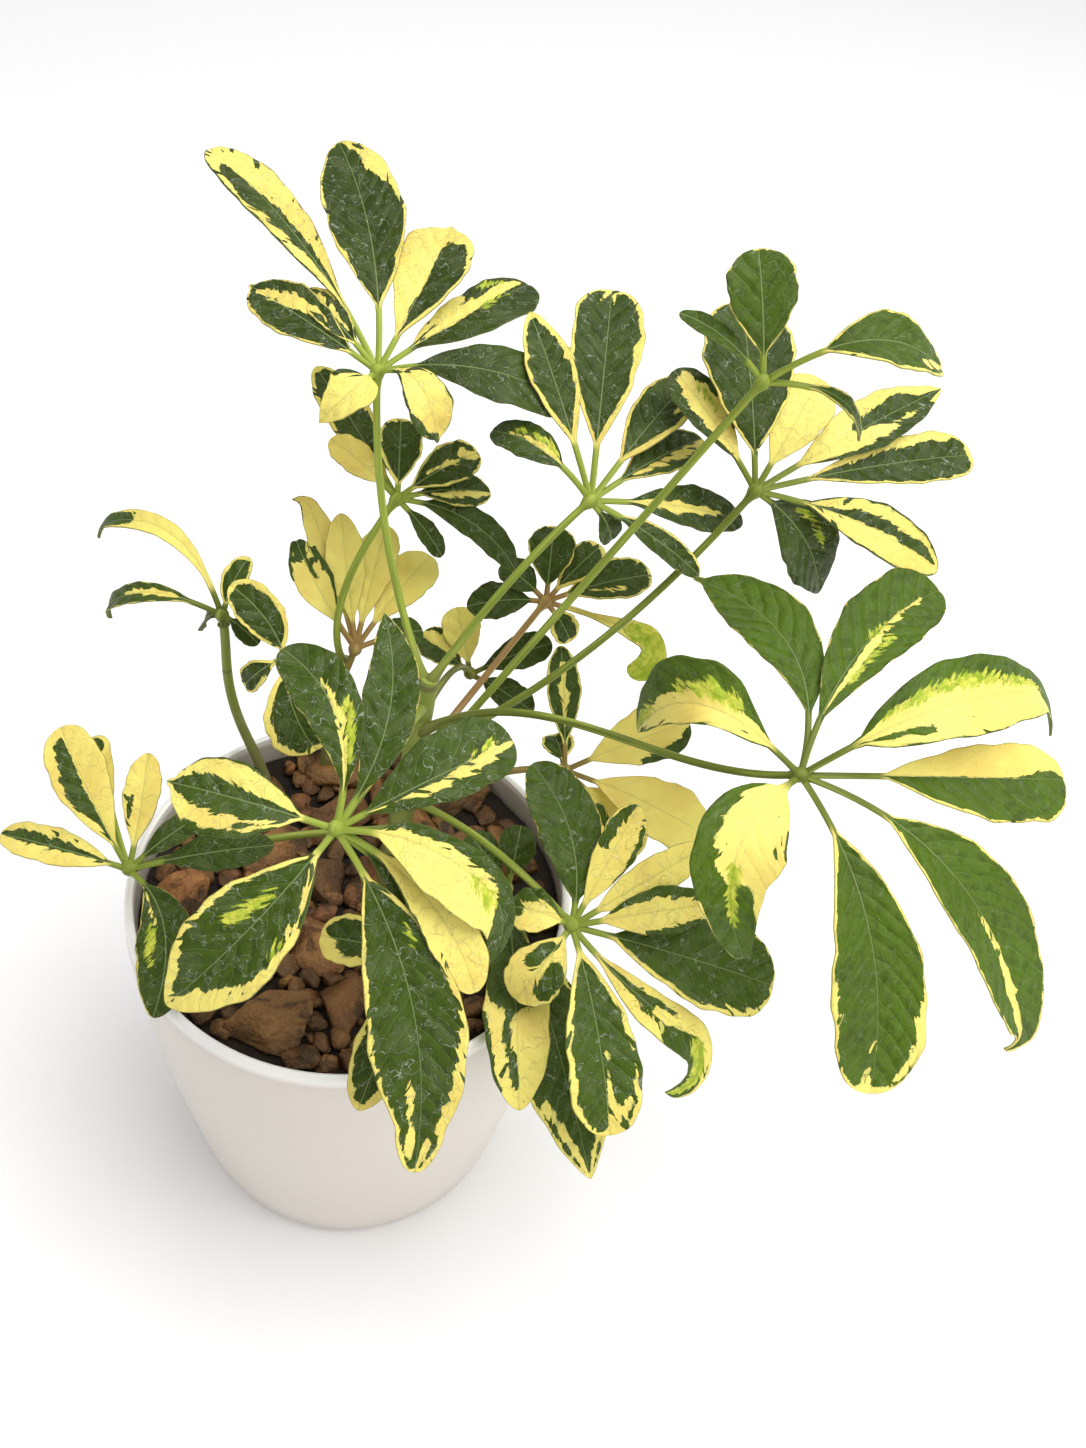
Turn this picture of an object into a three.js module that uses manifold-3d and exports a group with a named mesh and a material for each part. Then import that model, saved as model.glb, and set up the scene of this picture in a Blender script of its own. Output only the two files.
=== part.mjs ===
// Potted umbrella plant: a cream pot of soil and stone mulch, three stems and their palmate leaves.
// Millimetres, +Z up. The origin is the middle of the pot's foot, and -Y is the front.
import * as THREE from "three";
import { mergeVertices } from "three/addons/utils/BufferGeometryUtils.js";
import Module from "manifold-3d";

const wasm = await Module();
wasm.setup();

// Driving dimensions of the pot and its filling.
const POT_HEIGHT = 180;
const RIM_RADIUS = 90;
const WALL = 4;
const FLOOR_THICK = 6;
const POT_SIDES = 36;
const SOIL_TOP = 161;
const BED_TOP = 167;
const GAP = 0.3;
const FILLING_CLEARANCE = 0.6;
const INSIDE_FLOOR_RADIUS = 64;
const SOIL_FLOOR_RADIUS = 62;
const RIM_INSIDE = [86, 178.6];

// The pot's outer side from foot to rim: radius, height.
const POT_OUTER = [
  [64, 0],
  [69, 2],
  [72, 8],
  [76, 29],
  [79.5, 54],
  [83, 79],
  [86, 104],
  [88.3, 129],
  [89.8, 154],
  [90.3, 169],
  [RIM_RADIUS, 176],
  [88.8, 179.2],
  [87.6, POT_HEIGHT],
];

// Heights at which the inner wall turns.
const INSIDE_LEVELS = [12, 54, 104, 154, 174];

// Leaflet blades.
const BLADE_THICK = 0.8;
const STALK_THICK = 1.8;
const STALK_HALF_WIDTH = 1.2;
const BLADE_FOLD = 0.14;
const HOOK_RADIUS = 8;

// Petioles, the hubs at their ends, and stems.
const PETIOLE_RADIUS = 1.8;
const PETIOLE_BASE_SWELL = 0.5;
const PETIOLE_SIDES = 5;
const PETIOLE_STEPS = 7;
const HUB_RADIUS = 3;
const STEM_SIDES = 8;

// Blade outline from base to tip: share of the length, share of the half width.
const OUTLINE = [
  [0, 0.1],
  [0.2, 0.46],
  [0.42, 0.86],
  [0.64, 1],
  [0.84, 0.8],
  [0.96, 0.4],
  [1, 0.14],
];

// The outline of the narrow leaflets.
const NARROW_WIDTH = 16;
const NARROW_OUTLINE = [
  [0, 0.1],
  [0.3, 0.7],
  [0.66, 1],
  [0.92, 0.56],
  [1, 0.16],
];

// Stems: axis points and the radius at each.
const STEMS = {
  stem_main: [
    [12, 2, 100, 5.5],
    [13, 8, 167, 5.4],
    [16, 28, 200, 5],
    [20, 44, 240, 4.4],
    [22, 46, 256, 3.6],
  ],
  stem_second: [
    [-24, 66, 100, 4],
    [-24, 67, 167, 3.8],
    [-22, 72, 195, 3.5],
    [-18, 78, 228, 2.8],
  ],
  stem_thin: [
    [-44, 48, 120, 2.4],
    [-47, 52, 167, 2.3],
    [-63, 63, 209, 2.1],
    [-65, 67, 249, 1.9],
  ],
};

// Each palmate leaf: the stem it grows from and at what height, how far its petiole bends off a
// straight line at one third and two thirds, its hub, the way it faces, and its leaflets.
// A leaflet is its tip from the hub (3 numbers), the length of its stalk, its width, its arch, its
// bow to the left, its roll, the length of its hooked tip, and the name of its markings.
const LEAVES = {
  leaf_top_left: {
    from: ["stem_main", 251], bend: [[-8, -3, 0], [-8, -3, 0]],
    hub: [-10, 103, 354], face: [-0.1, -0.35, 0.93],
    leaflets: [
      [-77, 73, 38, 26, 21, 4, -5, 20, 5, "right"],
      [-30, 80, 45, 22, 32, 4, -6, 0, 0, "edge"],
      [18, 54, 31, 13, 28, 3, 0, 0, 0, "left"],
      [49, 50, 14, 14, 29, 4, 0, -10, 0, "heart"],
      [71, 8, -8, 12, 27, 13, 0, 0, 0, "green"],
      [26, -20, -14, 6, 21, 15, 4, 0, 0, "cream"],
      [-18, -19, -13, 4, 20, 6, 3, 0, 0, "cream"],
      [-55, 32, 8, 10, 22, 6, 2, 0, 0, "right"],
      [-32, 26, 17, 12, 13, 3, 0, 0, 0, "edge"],
    ],
  },
  leaf_top_left_back: {
    from: ["stem_second", 225], bend: [[-12, -15, 3], [-12, -13, 1]],
    hub: [-2, 106, 294], face: [0.1, -0.4, 0.9],
    leaflets: [
      [-29, 11, 16, 8, 14, 3, 0, 0, 0, "cream"],
      [-41, 41, 28, 8, 18, 3, 0, 0, 0, "edge"],
      [-2, 17, 26, 5, 18, 3, 0, 0, 0, "edge"],
      [29, 21, 12, 6, 18, 4, 0, 0, 0, "edge"],
      [36, 14, -2, 8, 16, 5, 0, 0, 0, "heart"],
      [50, -3, -26, 8, 14, 8, 4, 0, 0, "green"],
      [20, -6, -22, 6, 9, 3, 0, 0, 0, "green"],
    ],
  },
  leaf_left_thin: {
    from: ["stem_thin", 249], bend: [[0, 0, 0], [0, 0, 0]],
    hub: [-65.5, 67.5, 254], face: [-0.1, -0.3, 0.95],
    leaflets: [
      [-54, 33, 12, 14, 13, 12, -7, 0, 6, "cream"],
      [-46, 3, -4, 10, 12, 11, 0, 0, 6, "edge"],
      [-10, 6, -14, 4, 10, 3, 0, 0, 0, "green"],
      [8, 16, 18, 4, 11, 3, 0, 0, 0, "edge"],
      [16, -6, -8, 4, 9, 3, 0, 0, 0, "green"],
    ],
  },
  leaf_left_middle: {
    from: ["stem_second", 214], bend: [[0, -5, 5], [0, -5, 5]],
    hub: [-37, 54, 249], face: [-0.1, -0.5, 0.86],
    leaflets: [
      [-23, 12, 21, 3, 27, 3, -3, 0, 0, "edge"],
      [16, -19, -32, 4, 27, 4, -3, 0, 0, "edge"],
      [-16, -6, -14, 4, 16, 3, 0, 0, 0, "green"],
    ],
  },
  leaf_left_low: {
    from: ["stem_main", 190], bend: [[0, 0, 8], [0, 0, 8]],
    hub: [-81, -26, 204], face: [-0.15, -0.4, 0.9],
    leaflets: [
      [-54, 11, -4, 14, 14, 5, 0, 10, 0, "heart"],
      [-35, 40, 30, 14, 21, 5, 0, 0, 0, "left"],
      [-19, 40, 27, 26, 9, 4, 0, 0, 6, "cream"],
      [-2, 40, 22, 12, 15, 3, 0, 0, 0, "cream"],
      [54, 12, 12, 14, 16, 4, 0, 0, 0, "green"],
      [22, -50, -20, 8, 22, 10, 13, 0, 0, "heart"],
      [28, 20, 18, 8, 11, 3, 0, 0, 0, "green"],
    ],
  },
  leaf_back_left: {
    from: ["stem_second", 216], bend: [[0, 0, -1], [0, 0, -1]],
    hub: [-13, 75, 238], face: [0, -0.45, 0.89],
    leaflets: [
      [-32, 43, 34, 12, 16, 3, 0, 0, 5, "cream"],
      [-30, 30, 26, 12, 13, 3, 0, 0, 0, "edge"],
      [-14, 41, 36, 10, 16, 3, 0, 0, 0, "cream"],
      [24, 41, 20, 12, 20, 4, 0, 0, 0, "cream"],
      [5, 42, 32, 10, 17, 3, 0, 0, 0, "cream"],
      [26, 12, 4, 8, 14, 3, 0, 0, 0, "heart"],
    ],
  },
  leaf_front: {
    from: ["stem_main", 242], bend: [[0, -11, 8], [0, -11, 8]],
    hub: [5, -51, 279], face: [0, -0.45, 0.89],
    leaflets: [
      [-58, 7, 4, 12, 27, 5, 0, 0, 0, "edge_right"],
      [-48, -47, -46, 8, 33, 7, 4, 0, 0, "edge"],
      [41, -75, -84, 22, 33, 5, 12, 0, 0, "edge"],
      [53, -31, -38, 16, 21, 5, 7, 0, 0, "cream"],
      [60, -8, -16, 12, 26, 10, 3, 0, 22, "heart"],
      [54, 35, 16, 10, 26, 4, 0, 0, 0, "heart"],
      [8, 70, 34, 10, 24, 6, 0, 0, 0, "green"],
      [-28, 50, 30, 10, 28, 9, -11, 0, 0, "heart"],
      [54, -12, -34, 12, 19, 3, 0, 0, 0, "green"],
    ],
  },
  leaf_right_low: {
    from: ["stem_main", 202], bend: [[0, 0, 13], [0, 0, 13]],
    hub: [89, -34, 219], face: [0.1, -0.45, 0.89],
    leaflets: [
      [-23, 50, 30, 7, 30, 5, -10, 0, 0, "green"],
      [19, 40, 26, 8, 17, 3, 0, 20, 0, "cream"],
      [45, 30, 19, 10, 15, 3, 0, 20, 0, "cream"],
      [50, 12, 9, 10, 18, 3, 0, 0, 0, "cream"],
      [80, 1, -22, 13, 34, 6, 0, 0, 0, "edge"],
      [50, -26, -29, 12, 22, 4, -3, -50, 24, "edge"],
      [23, -64, -33, 8, 30, 8, 0, 0, 0, "edge"],
      [-17, -21, -22, 4, 21, 6, 0, 0, 0, "edge"],
      [-24, 4, 2, 4, 17, 5, 0, 0, 0, "cream"],
    ],
  },
  leaf_right: {
    from: ["stem_main", 230], bend: [[0, 0, 46], [0, 0, -14]],
    hub: [159, -7, 289], face: [0.1, -0.4, 0.91],
    leaflets: [
      [-56, 22, -12, 12, 26, 38, 0, 15, 0, "left"],
      [-43, 75, 18, 18, 29, 5, -18, 0, 0, "green"],
      [50, 85, 20, 20, 31, 5, 11, 0, 0, "heart"],
      [88, 44, 8, 24, 27, 20, 4, 0, 12, "right"],
      [99, 24, -9, 28, 28, 4, 0, 0, 0, "left"],
      [92, -49, -61, 29, 27, 8, 21, -20, 8, "green"],
      [39, -78, -72, 19, 35, 6, 10, 0, 0, "green"],
      [-11, -44, -38, 6, 36, 17, -11, 0, 10, "left"],
    ],
  },
  leaf_top_middle: {
    from: ["stem_main", 253], bend: [[0, 0, 8], [0, 0, 8]],
    hub: [74, 77, 329], face: [0, -0.4, 0.92],
    leaflets: [
      [-32, 52, 42, 20, 18, 4, 0, 0, 0, "edge"],
      [-3, 68, 46, 18, 27, 4, 0, 0, 0, "edge"],
      [34, 63, 20, 18, 22, 4, 0, -15, 0, "green"],
      [60, 25, -19, 14, 18, 4, 0, 0, 0, "heart"],
      [40, 48, 0, 14, 18, 4, 0, 0, 0, "left"],
      [-40, 20, 10, 14, 16, 9, 0, 0, 0, "heart"],
      [45, -3, -26, 12, 11, 4, 0, 0, 0, "green"],
      [10, -2, -16, 5, 11, 3, 0, 0, 0, "green"],
    ],
  },
  leaf_top_right: {
    from: ["stem_main", 222], bend: [[5, 0, -19], [5, 0, -19]],
    hub: [134, 90, 334], face: [0.1, -0.4, 0.92],
    leaflets: [
      [-15, 51, 46, 12, 35, 4, 0, 0, 0, "green"],
      [-36, 31, 26, 12, 18, 3, 0, 0, 0, "right"],
      [19, 39, 26, 10, 22, 3, 0, 0, 0, "cream"],
      [70, 60, 16, 18, 21, 4, 0, 0, 0, "left"],
      [85, 42, 0, 20, 24, 4, 0, 0, 0, "edge"],
      [76, 1, -26, 18, 23, 5, 0, 0, 0, "edge"],
      [33, -6, -40, 6, 28, 6, 0, 0, 0, "green"],
    ],
  },
  leaf_top_right_young: {
    from: ["stem_main", 208], bend: [[0, 0, 0], [0, 0, 0]],
    hub: [125, 76, 389], face: [0, -0.35, 0.94],
    leaflets: [
      [-9, 20, 36, 8, 24, 3, 0, 0, 0, "green"],
      [-31, 12, 14, 8, 8, 5, 0, 0, 0, "green"],
      [61, 16, 4, 16, 23, 19, 0, 0, 0, "green"],
      [39, 6, -22, 12, 7, 12, 0, 0, 0, "edge"],
    ],
  },
  leaf_middle_back: {
    from: ["stem_main", 215], bend: [[0, 0, 0], [0, 0, 0]],
    hub: [62, 111, 246], face: [0, -0.4, 0.92],
    leaflets: [
      [-1, 21, 24, 6, 20, 3, 0, 0, 0, "edge"],
      [-33, -8, -2, 6, 17, 4, 0, 0, 0, "green"],
      [43, 15, 10, 8, 19, 4, 0, 0, 0, "heart"],
      [48, -4, -14, 8, 14, 4, 0, 0, 12, "cream"],
      [13, -8, -14, 5, 13, 3, 0, 0, 0, "green"],
      [20, 21, 17, 6, 15, 3, 0, 0, 0, "edge"],
      [-21, 8, 10, 6, 14, 3, 0, 0, 0, "green"],
    ],
  },
  leaf_right_back: {
    from: ["stem_main", 196], bend: [[0, 0, 13], [0, 0, 13]],
    hub: [80, 59, 199], face: [0.15, -0.4, 0.9],
    leaflets: [
      [64, -14, -14, 12, 27, 6, 0, 0, 0, "cream"],
      [50, 25, 14, 10, 25, 4, 0, 0, 0, "cream"],
      [38, -16, -28, 10, 24, 4, 0, 0, 0, "cream"],
      [-9, 44, 30, 10, 15, 3, 0, 0, 0, "edge"],
      [-7, 16, 4, 4, 14, 3, 0, 0, 0, "edge"],
    ],
  },
  leaf_inner_back: {
    from: ["stem_main", 236], bend: [[0, 19, 0], [0, 19, 0]],
    hub: [33, 103, 204], face: [0, -0.4, 0.92],
    leaflets: [
      [-24, 8, 12, 5, 16, 3, 0, 0, 0, "edge"],
      [-10, 18, 22, 5, 17, 3, 0, 0, 0, "cream"],
      [34, 8, 18, 6, 16, 3, 0, 0, 0, "green"],
      [30, -12, -6, 6, 14, 3, 0, 0, 0, "green"],
    ],
  },
  leaf_inner_front: {
    from: ["stem_main", 193], bend: [[0, 0, 5], [0, 0, 5]],
    hub: [37, -46, 204], face: [0, -0.45, 0.89],
    leaflets: [
      [-40, 1, 2, 8, 19, 4, 0, 0, 0, "edge"],
      [-15, -56, -18, 8, 20, 10, 0, 0, 0, "edge"],
      [-18, 16, 10, 5, 14, 3, 0, 0, 0, "green"],
    ],
  },
  leaf_inner_right: {
    from: ["stem_main", 184], bend: [[0, 0, 5], [0, 0, 5]],
    hub: [63, -3, 194], face: [0.1, -0.45, 0.89],
    leaflets: [
      [16, -84, -20, 12, 25, 8, 0, 0, 0, "cream"],
      [46, -98, -38, 22, 33, 12, 0, 0, 0, "edge"],
      [-18, -20, -16, 6, 15, 3, 0, 0, 0, "green"],
      [-18, 14, 14, 6, 14, 3, 0, 0, 0, "green"],
      [2, 20, 16, 6, 15, 3, 0, 0, 0, "cream"],
    ],
  },
};

// Mulch stones placed by hand at the front: middle (3 numbers), half sizes (3 numbers), turn.
const FRONT_STONES = [
  [-20, -62, 170, 22, 15, 9, 0.3],
  [8, -50, 169, 14, 12, 9, 1.1],
  [-50, -42, 169, 19, 14, 8, 0.7],
  [-66, -14, 168, 15, 11, 8, 1.7],
  [-36, -20, 169, 15, 13, 7, 2.4],
  [-8, -26, 168, 15, 12, 7, 0.1],
  [34, -62, 168, 15, 12, 8, 2.1],
];

// Rings of stones further in: radius, count, first turn. They leave the front stones room.
const STONE_RINGS = [
  [70, 9, 0.4],
  [44, 7, 0.9],
  [18, 3, 0.2],
];
const STONE_ROOM = 20;
const STONE_LENGTH = [15, 4];
const STONE_WIDTH = [12, 3];
const STONE_HEIGHT = 8;
const STONE_REACH = 84.6;

const vec = (p) => new THREE.Vector3(p[0], p[1], p[2]);

// A repeatable random draw in 0 to 1.
function seeded(seed) {
  let state = seed;
  return () => {
    state = (state * 1664525 + 1013904223) % 4294967296;
    return state / 4294967296;
  };
}

// A closed body through rings of equally many points. A flipped strip is split along its other
// diagonal.
function loft(rings, flips, caps) {
  const count = rings[0].length;
  const positions = rings.flat().flatMap((p) => [p.x, p.y, p.z]);
  const faces = [];
  for (let i = 0; i + 1 < rings.length; i++) {
    for (let j = 0; j < count; j++) {
      const a = i * count + j;
      const b = i * count + ((j + 1) % count);
      const c = a + count;
      const d = b + count;
      if (flips[j]) faces.push([a, b, c], [b, d, c]);
      else faces.push([a, b, d], [a, d, c]);
    }
  }
  const last = (rings.length - 1) * count;
  for (const [a, b, c] of caps) {
    faces.push([a, c, b], [last + a, last + b, last + c]);
  }
  const geometry = new THREE.BufferGeometry();
  geometry.setAttribute("position", new THREE.Float32BufferAttribute(positions, 3));
  geometry.setIndex(faces.flat());
  return geometry;
}

// A geometry as a solid with its faces pointing out.
function solid(geometry) {
  const bare = geometry.clone();
  bare.deleteAttribute("normal");
  bare.deleteAttribute("uv");
  const merged = mergeVertices(bare, 1e-4);
  const mesh = { numProp: 3, vertProperties: merged.attributes.position.array };
  mesh.triVerts = new Uint32Array(merged.index.array);
  const made = new wasm.Manifold(new wasm.Mesh(mesh));
  if (made.volume() > 0) return made;
  for (let i = 0; i < mesh.triVerts.length; i += 3) {
    const kept = mesh.triVerts[i];
    mesh.triVerts[i] = mesh.triVerts[i + 1];
    mesh.triVerts[i + 1] = kept;
  }
  return new wasm.Manifold(new wasm.Mesh(mesh));
}

function geometryOf(body) {
  const mesh = body.getMesh();
  const geometry = new THREE.BufferGeometry();
  geometry.setAttribute("position", new THREE.BufferAttribute(mesh.vertProperties, 3));
  geometry.setIndex(new THREE.BufferAttribute(mesh.triVerts, 1));
  return geometry;
}

const fanCaps = (sides) => {
  const caps = [];
  for (let j = 1; j + 1 < sides; j++) caps.push([0, j, j + 1]);
  return caps;
};

// A round tube through points, each with its radius.
function tube(points, radii, sides) {
  let side = new THREE.Vector3(1, 0, 0);
  const rings = points.map((p, i) => {
    const before = points[Math.max(i - 1, 0)];
    const after = points[Math.min(i + 1, points.length - 1)];
    const along = after.clone().sub(before).normalize();
    side = side.clone().addScaledVector(along, -side.dot(along)).normalize();
    const other = new THREE.Vector3().crossVectors(along, side);
    return Array.from({ length: sides }, (_, k) => {
      const turn = (2 * Math.PI * k) / sides;
      return p.clone()
        .addScaledVector(side, radii[i] * Math.cos(turn))
        .addScaledVector(other, radii[i] * Math.sin(turn));
    });
  });
  return loft(rings, Array(sides).fill(false), fanCaps(sides));
}

// The middle line of a leaflet, and the blade's side and upward directions, at a share of its length.
function leafletLine(hub, face, row) {
  const [dx, dy, dz, stalk, , arch, bow, roll, hook] = row;
  const reach = new THREE.Vector3(dx, dy, dz);
  const length = reach.length();
  const left = new THREE.Vector3().crossVectors(face, reach).normalize();
  const up = new THREE.Vector3().crossVectors(reach, left).normalize();
  const place = (t) => {
    const rise = 4 * t * (1 - t);
    return hub.clone()
      .addScaledVector(reach, t)
      .addScaledVector(up, arch * rise)
      .addScaledVector(left, bow * rise);
  };
  const end = place(1);
  const outward = end.clone().sub(place(0.98)).normalize();
  const tipUp = new THREE.Vector3().crossVectors(outward, left).normalize();
  const tipUpRolled = tipUp.applyAxisAngle(outward, THREE.MathUtils.degToRad(roll));
  const bladeLength = length - stalk + hook;
  const at = (u) => {
    const run = u * bladeLength + stalk;
    if (run <= length) return place(run / length);
    const turn = (run - length) / HOOK_RADIUS;
    return end.clone()
      .addScaledVector(outward, HOOK_RADIUS * Math.sin(turn))
      .addScaledVector(tipUpRolled, -HOOK_RADIUS * (1 - Math.cos(turn)));
  };
  const frame = (u) => {
    const step = 0.02;
    const along = at(Math.min(u + step, 1)).sub(at(u - step)).normalize();
    const flat = left.clone().addScaledVector(along, -left.dot(along)).normalize();
    const high = new THREE.Vector3().crossVectors(along, flat);
    const tilt = THREE.MathUtils.degToRad(roll) * THREE.MathUtils.clamp(u * 1.6, 0, 1);
    const side = flat.clone().multiplyScalar(Math.cos(tilt)).addScaledVector(high, Math.sin(tilt));
    const normal = new THREE.Vector3().crossVectors(along, side);
    return { side, normal };
  };
  return { at, frame, start: -stalk / bladeLength };
}

// One leaflet with its stalk: a folded blade, three points wide on each face.
function leaflet(hub, face, row) {
  const line = leafletLine(hub, face, row);
  const half = row[4] / 2;
  const ring = (u, wide, thick) => {
    const middle = line.at(u);
    const { side, normal } = line.frame(u);
    const lift = BLADE_FOLD * wide;
    const point = (across, high) =>
      middle.clone().addScaledVector(side, across).addScaledVector(normal, high);
    return [
      point(wide, lift), point(0, 0), point(-wide, lift),
      point(-wide, lift - thick), point(0, -thick), point(wide, lift - thick),
    ];
  };
  const rings = [ring(line.start, STALK_HALF_WIDTH, STALK_THICK)];
  for (const [u, share] of row[4] < NARROW_WIDTH ? NARROW_OUTLINE : OUTLINE) {
    const thick = u === 0 ? STALK_THICK : BLADE_THICK;
    rings.push(ring(u, Math.max(share * half, STALK_HALF_WIDTH), thick));
  }
  const flips = [true, false, false, true, false, false];
  const caps = [[0, 1, 4], [0, 4, 5], [1, 2, 3], [1, 3, 4]];
  return loft(rings, flips, caps);
}

// A point on a stem's axis at a height.
function onStem(name, height) {
  const axis = STEMS[name];
  for (let i = 0; i + 1 < axis.length; i++) {
    if (height <= axis[i + 1][2]) {
      const share = (height - axis[i][2]) / (axis[i + 1][2] - axis[i][2]);
      return vec(axis[i]).lerp(vec(axis[i + 1]), share);
    }
  }
  return vec(axis[axis.length - 1]);
}

function stem(name, grown) {
  const points = STEMS[name].map(vec);
  const radii = STEMS[name].map((p) => p[3] + grown);
  return solid(tube(points, radii, STEM_SIDES));
}

// A whole leaf: petiole, hub and leaflets grown as one.
function leaf(name) {
  const { from, bend, hub, face, leaflets } = LEAVES[name];
  const centre = vec(hub);
  const base = onStem(...from);
  const lower = base.clone().lerp(centre, 1 / 3).add(vec(bend[0]));
  const upper = base.clone().lerp(centre, 2 / 3).add(vec(bend[1]));
  const curve = new THREE.CubicBezierCurve3(base, lower, upper, centre);
  const points = curve.getPoints(PETIOLE_STEPS);
  const swell = (i) => PETIOLE_BASE_SWELL * (1 - i / PETIOLE_STEPS) ** 4;
  const radii = points.map((_, i) => PETIOLE_RADIUS + swell(i));
  let body = solid(tube(points, radii, PETIOLE_SIDES));
  const knob = new THREE.IcosahedronGeometry(HUB_RADIUS, 0).translate(...hub);
  body = body.add(solid(knob));
  for (const row of leaflets) {
    body = body.add(solid(leaflet(centre, vec(face).normalize(), row)));
  }
  return body.subtract(stem(from[0], GAP));
}

function pot() {
  const inner = INSIDE_LEVELS.map((z) => [insideRadius(z), z]).reverse();
  const floor = [[INSIDE_FLOOR_RADIUS, FLOOR_THICK], [0, FLOOR_THICK]];
  const profile = [[0, 0], ...POT_OUTER, RIM_INSIDE, ...inner, ...floor];
  const points = profile.map(([r, z]) => new THREE.Vector2(r, z));
  return solid(new THREE.LatheGeometry(points, POT_SIDES).rotateX(Math.PI / 2));
}

// The radius of the space inside the pot at a height.
function insideRadius(height) {
  for (let i = 2; i + 1 < POT_OUTER.length; i++) {
    const [r0, z0] = POT_OUTER[i];
    const [r1, z1] = POT_OUTER[i + 1];
    if (height <= z1) return r0 + ((height - z0) / (z1 - z0)) * (r1 - r0) - WALL;
  }
  return RIM_RADIUS - WALL;
}

// A round filling between two heights that keeps clear of the pot.
function filling(bottom, top, bottomRadius) {
  const levels = INSIDE_LEVELS.filter((z) => z > bottom + 20 && z < top);
  const profile = [[0, bottom], [bottomRadius, bottom]];
  for (const z of [...levels, top]) profile.push([insideRadius(z) - FILLING_CLEARANCE, z]);
  profile.push([0, top]);
  const points = profile.map(([r, z]) => new THREE.Vector2(r, z));
  return solid(new THREE.LatheGeometry(points, POT_SIDES).rotateX(Math.PI / 2));
}

// An angular stone: a low polyhedron with its corners moved at random.
function stone(row, random) {
  const [x, y, z, a, b, c, turn] = row;
  const geometry = new THREE.IcosahedronGeometry(1, 0);
  const merged = mergeVertices(geometry.deleteAttribute("normal").deleteAttribute("uv"), 1e-4);
  const position = merged.attributes.position;
  for (let i = 0; i < position.count; i++) {
    const size = 0.86 + 0.3 * random();
    position.setXYZ(i, position.getX(i) * size, position.getY(i) * size, position.getZ(i) * size);
  }
  merged.scale(a, b, c).rotateZ(turn).translate(x, y, z);
  return solid(merged);
}

function mulch() {
  const random = seeded(7);
  const bedBottom = SOIL_TOP + GAP;
  let body = filling(bedBottom, BED_TOP, insideRadius(SOIL_TOP) - FILLING_CLEARANCE);
  const rows = [...FRONT_STONES];
  for (const [radius, count, start] of STONE_RINGS) {
    for (let k = 0; k < count; k++) {
      const turn = start + (2 * Math.PI * (k + 0.3 * random())) / count;
      const x = radius * Math.cos(turn);
      const y = radius * Math.sin(turn);
      const near = FRONT_STONES.some((s) => Math.hypot(s[0] - x, s[1] - y) < STONE_ROOM);
      if (near) continue;
      const a = STONE_LENGTH[0] + STONE_LENGTH[1] * random();
      const b = STONE_WIDTH[0] + STONE_WIDTH[1] * random();
      rows.push([x, y, BED_TOP + 1, a, b, STONE_HEIGHT, 2 * Math.PI * random()]);
    }
  }
  const wall = new THREE.CylinderGeometry(STONE_REACH, STONE_REACH, POT_HEIGHT, POT_SIDES);
  wall.rotateX(Math.PI / 2).translate(0, 0, bedBottom + POT_HEIGHT / 2);
  let stones = stone(rows[0], random);
  for (const row of rows.slice(1)) stones = stones.add(stone(row, random));
  body = body.add(stones.intersect(solid(wall)));
  for (const name of Object.keys(STEMS)) body = body.subtract(stem(name, GAP));
  return body;
}

function soil() {
  let body = filling(FLOOR_THICK + GAP, SOIL_TOP, SOIL_FLOOR_RADIUS);
  for (const name of Object.keys(STEMS)) body = body.subtract(stem(name, GAP));
  return body;
}

const LOOKS = {
  pot: new THREE.MeshStandardMaterial({ color: 0xe9e4dc, roughness: 0.4, metalness: 0 }),
  soil: new THREE.MeshStandardMaterial({ color: 0x3a2a20, roughness: 0.95, metalness: 0 }),
  mulch: new THREE.MeshStandardMaterial({ color: 0x7a4a30, roughness: 0.9, metalness: 0 }),
  stem: new THREE.MeshStandardMaterial({ color: 0x6f7a3c, roughness: 0.7, metalness: 0 }),
  leaf: new THREE.MeshStandardMaterial({ color: 0x4c7a34, roughness: 0.4, metalness: 0 }),
};

const plant = new THREE.Group();

function place(name, body, look) {
  const mesh = new THREE.Mesh(geometryOf(body), look.clone());
  mesh.name = name;
  plant.add(mesh);
}

place("pot", pot(), LOOKS.pot);
place("soil", soil(), LOOKS.soil);
place("mulch", mulch(), LOOKS.mulch);
for (const name of Object.keys(STEMS)) place(name, stem(name, 0), LOOKS.stem);
for (const name of Object.keys(LEAVES)) place(name, leaf(name), LOOKS.leaf);

export default plant;
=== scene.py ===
"""Looks of the potted umbrella plant: glazed pot, stone mulch, stems and variegated palmate leaves."""
import math
import random

import bpy
import numpy as np
from mathutils import Matrix, Vector, noise


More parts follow.
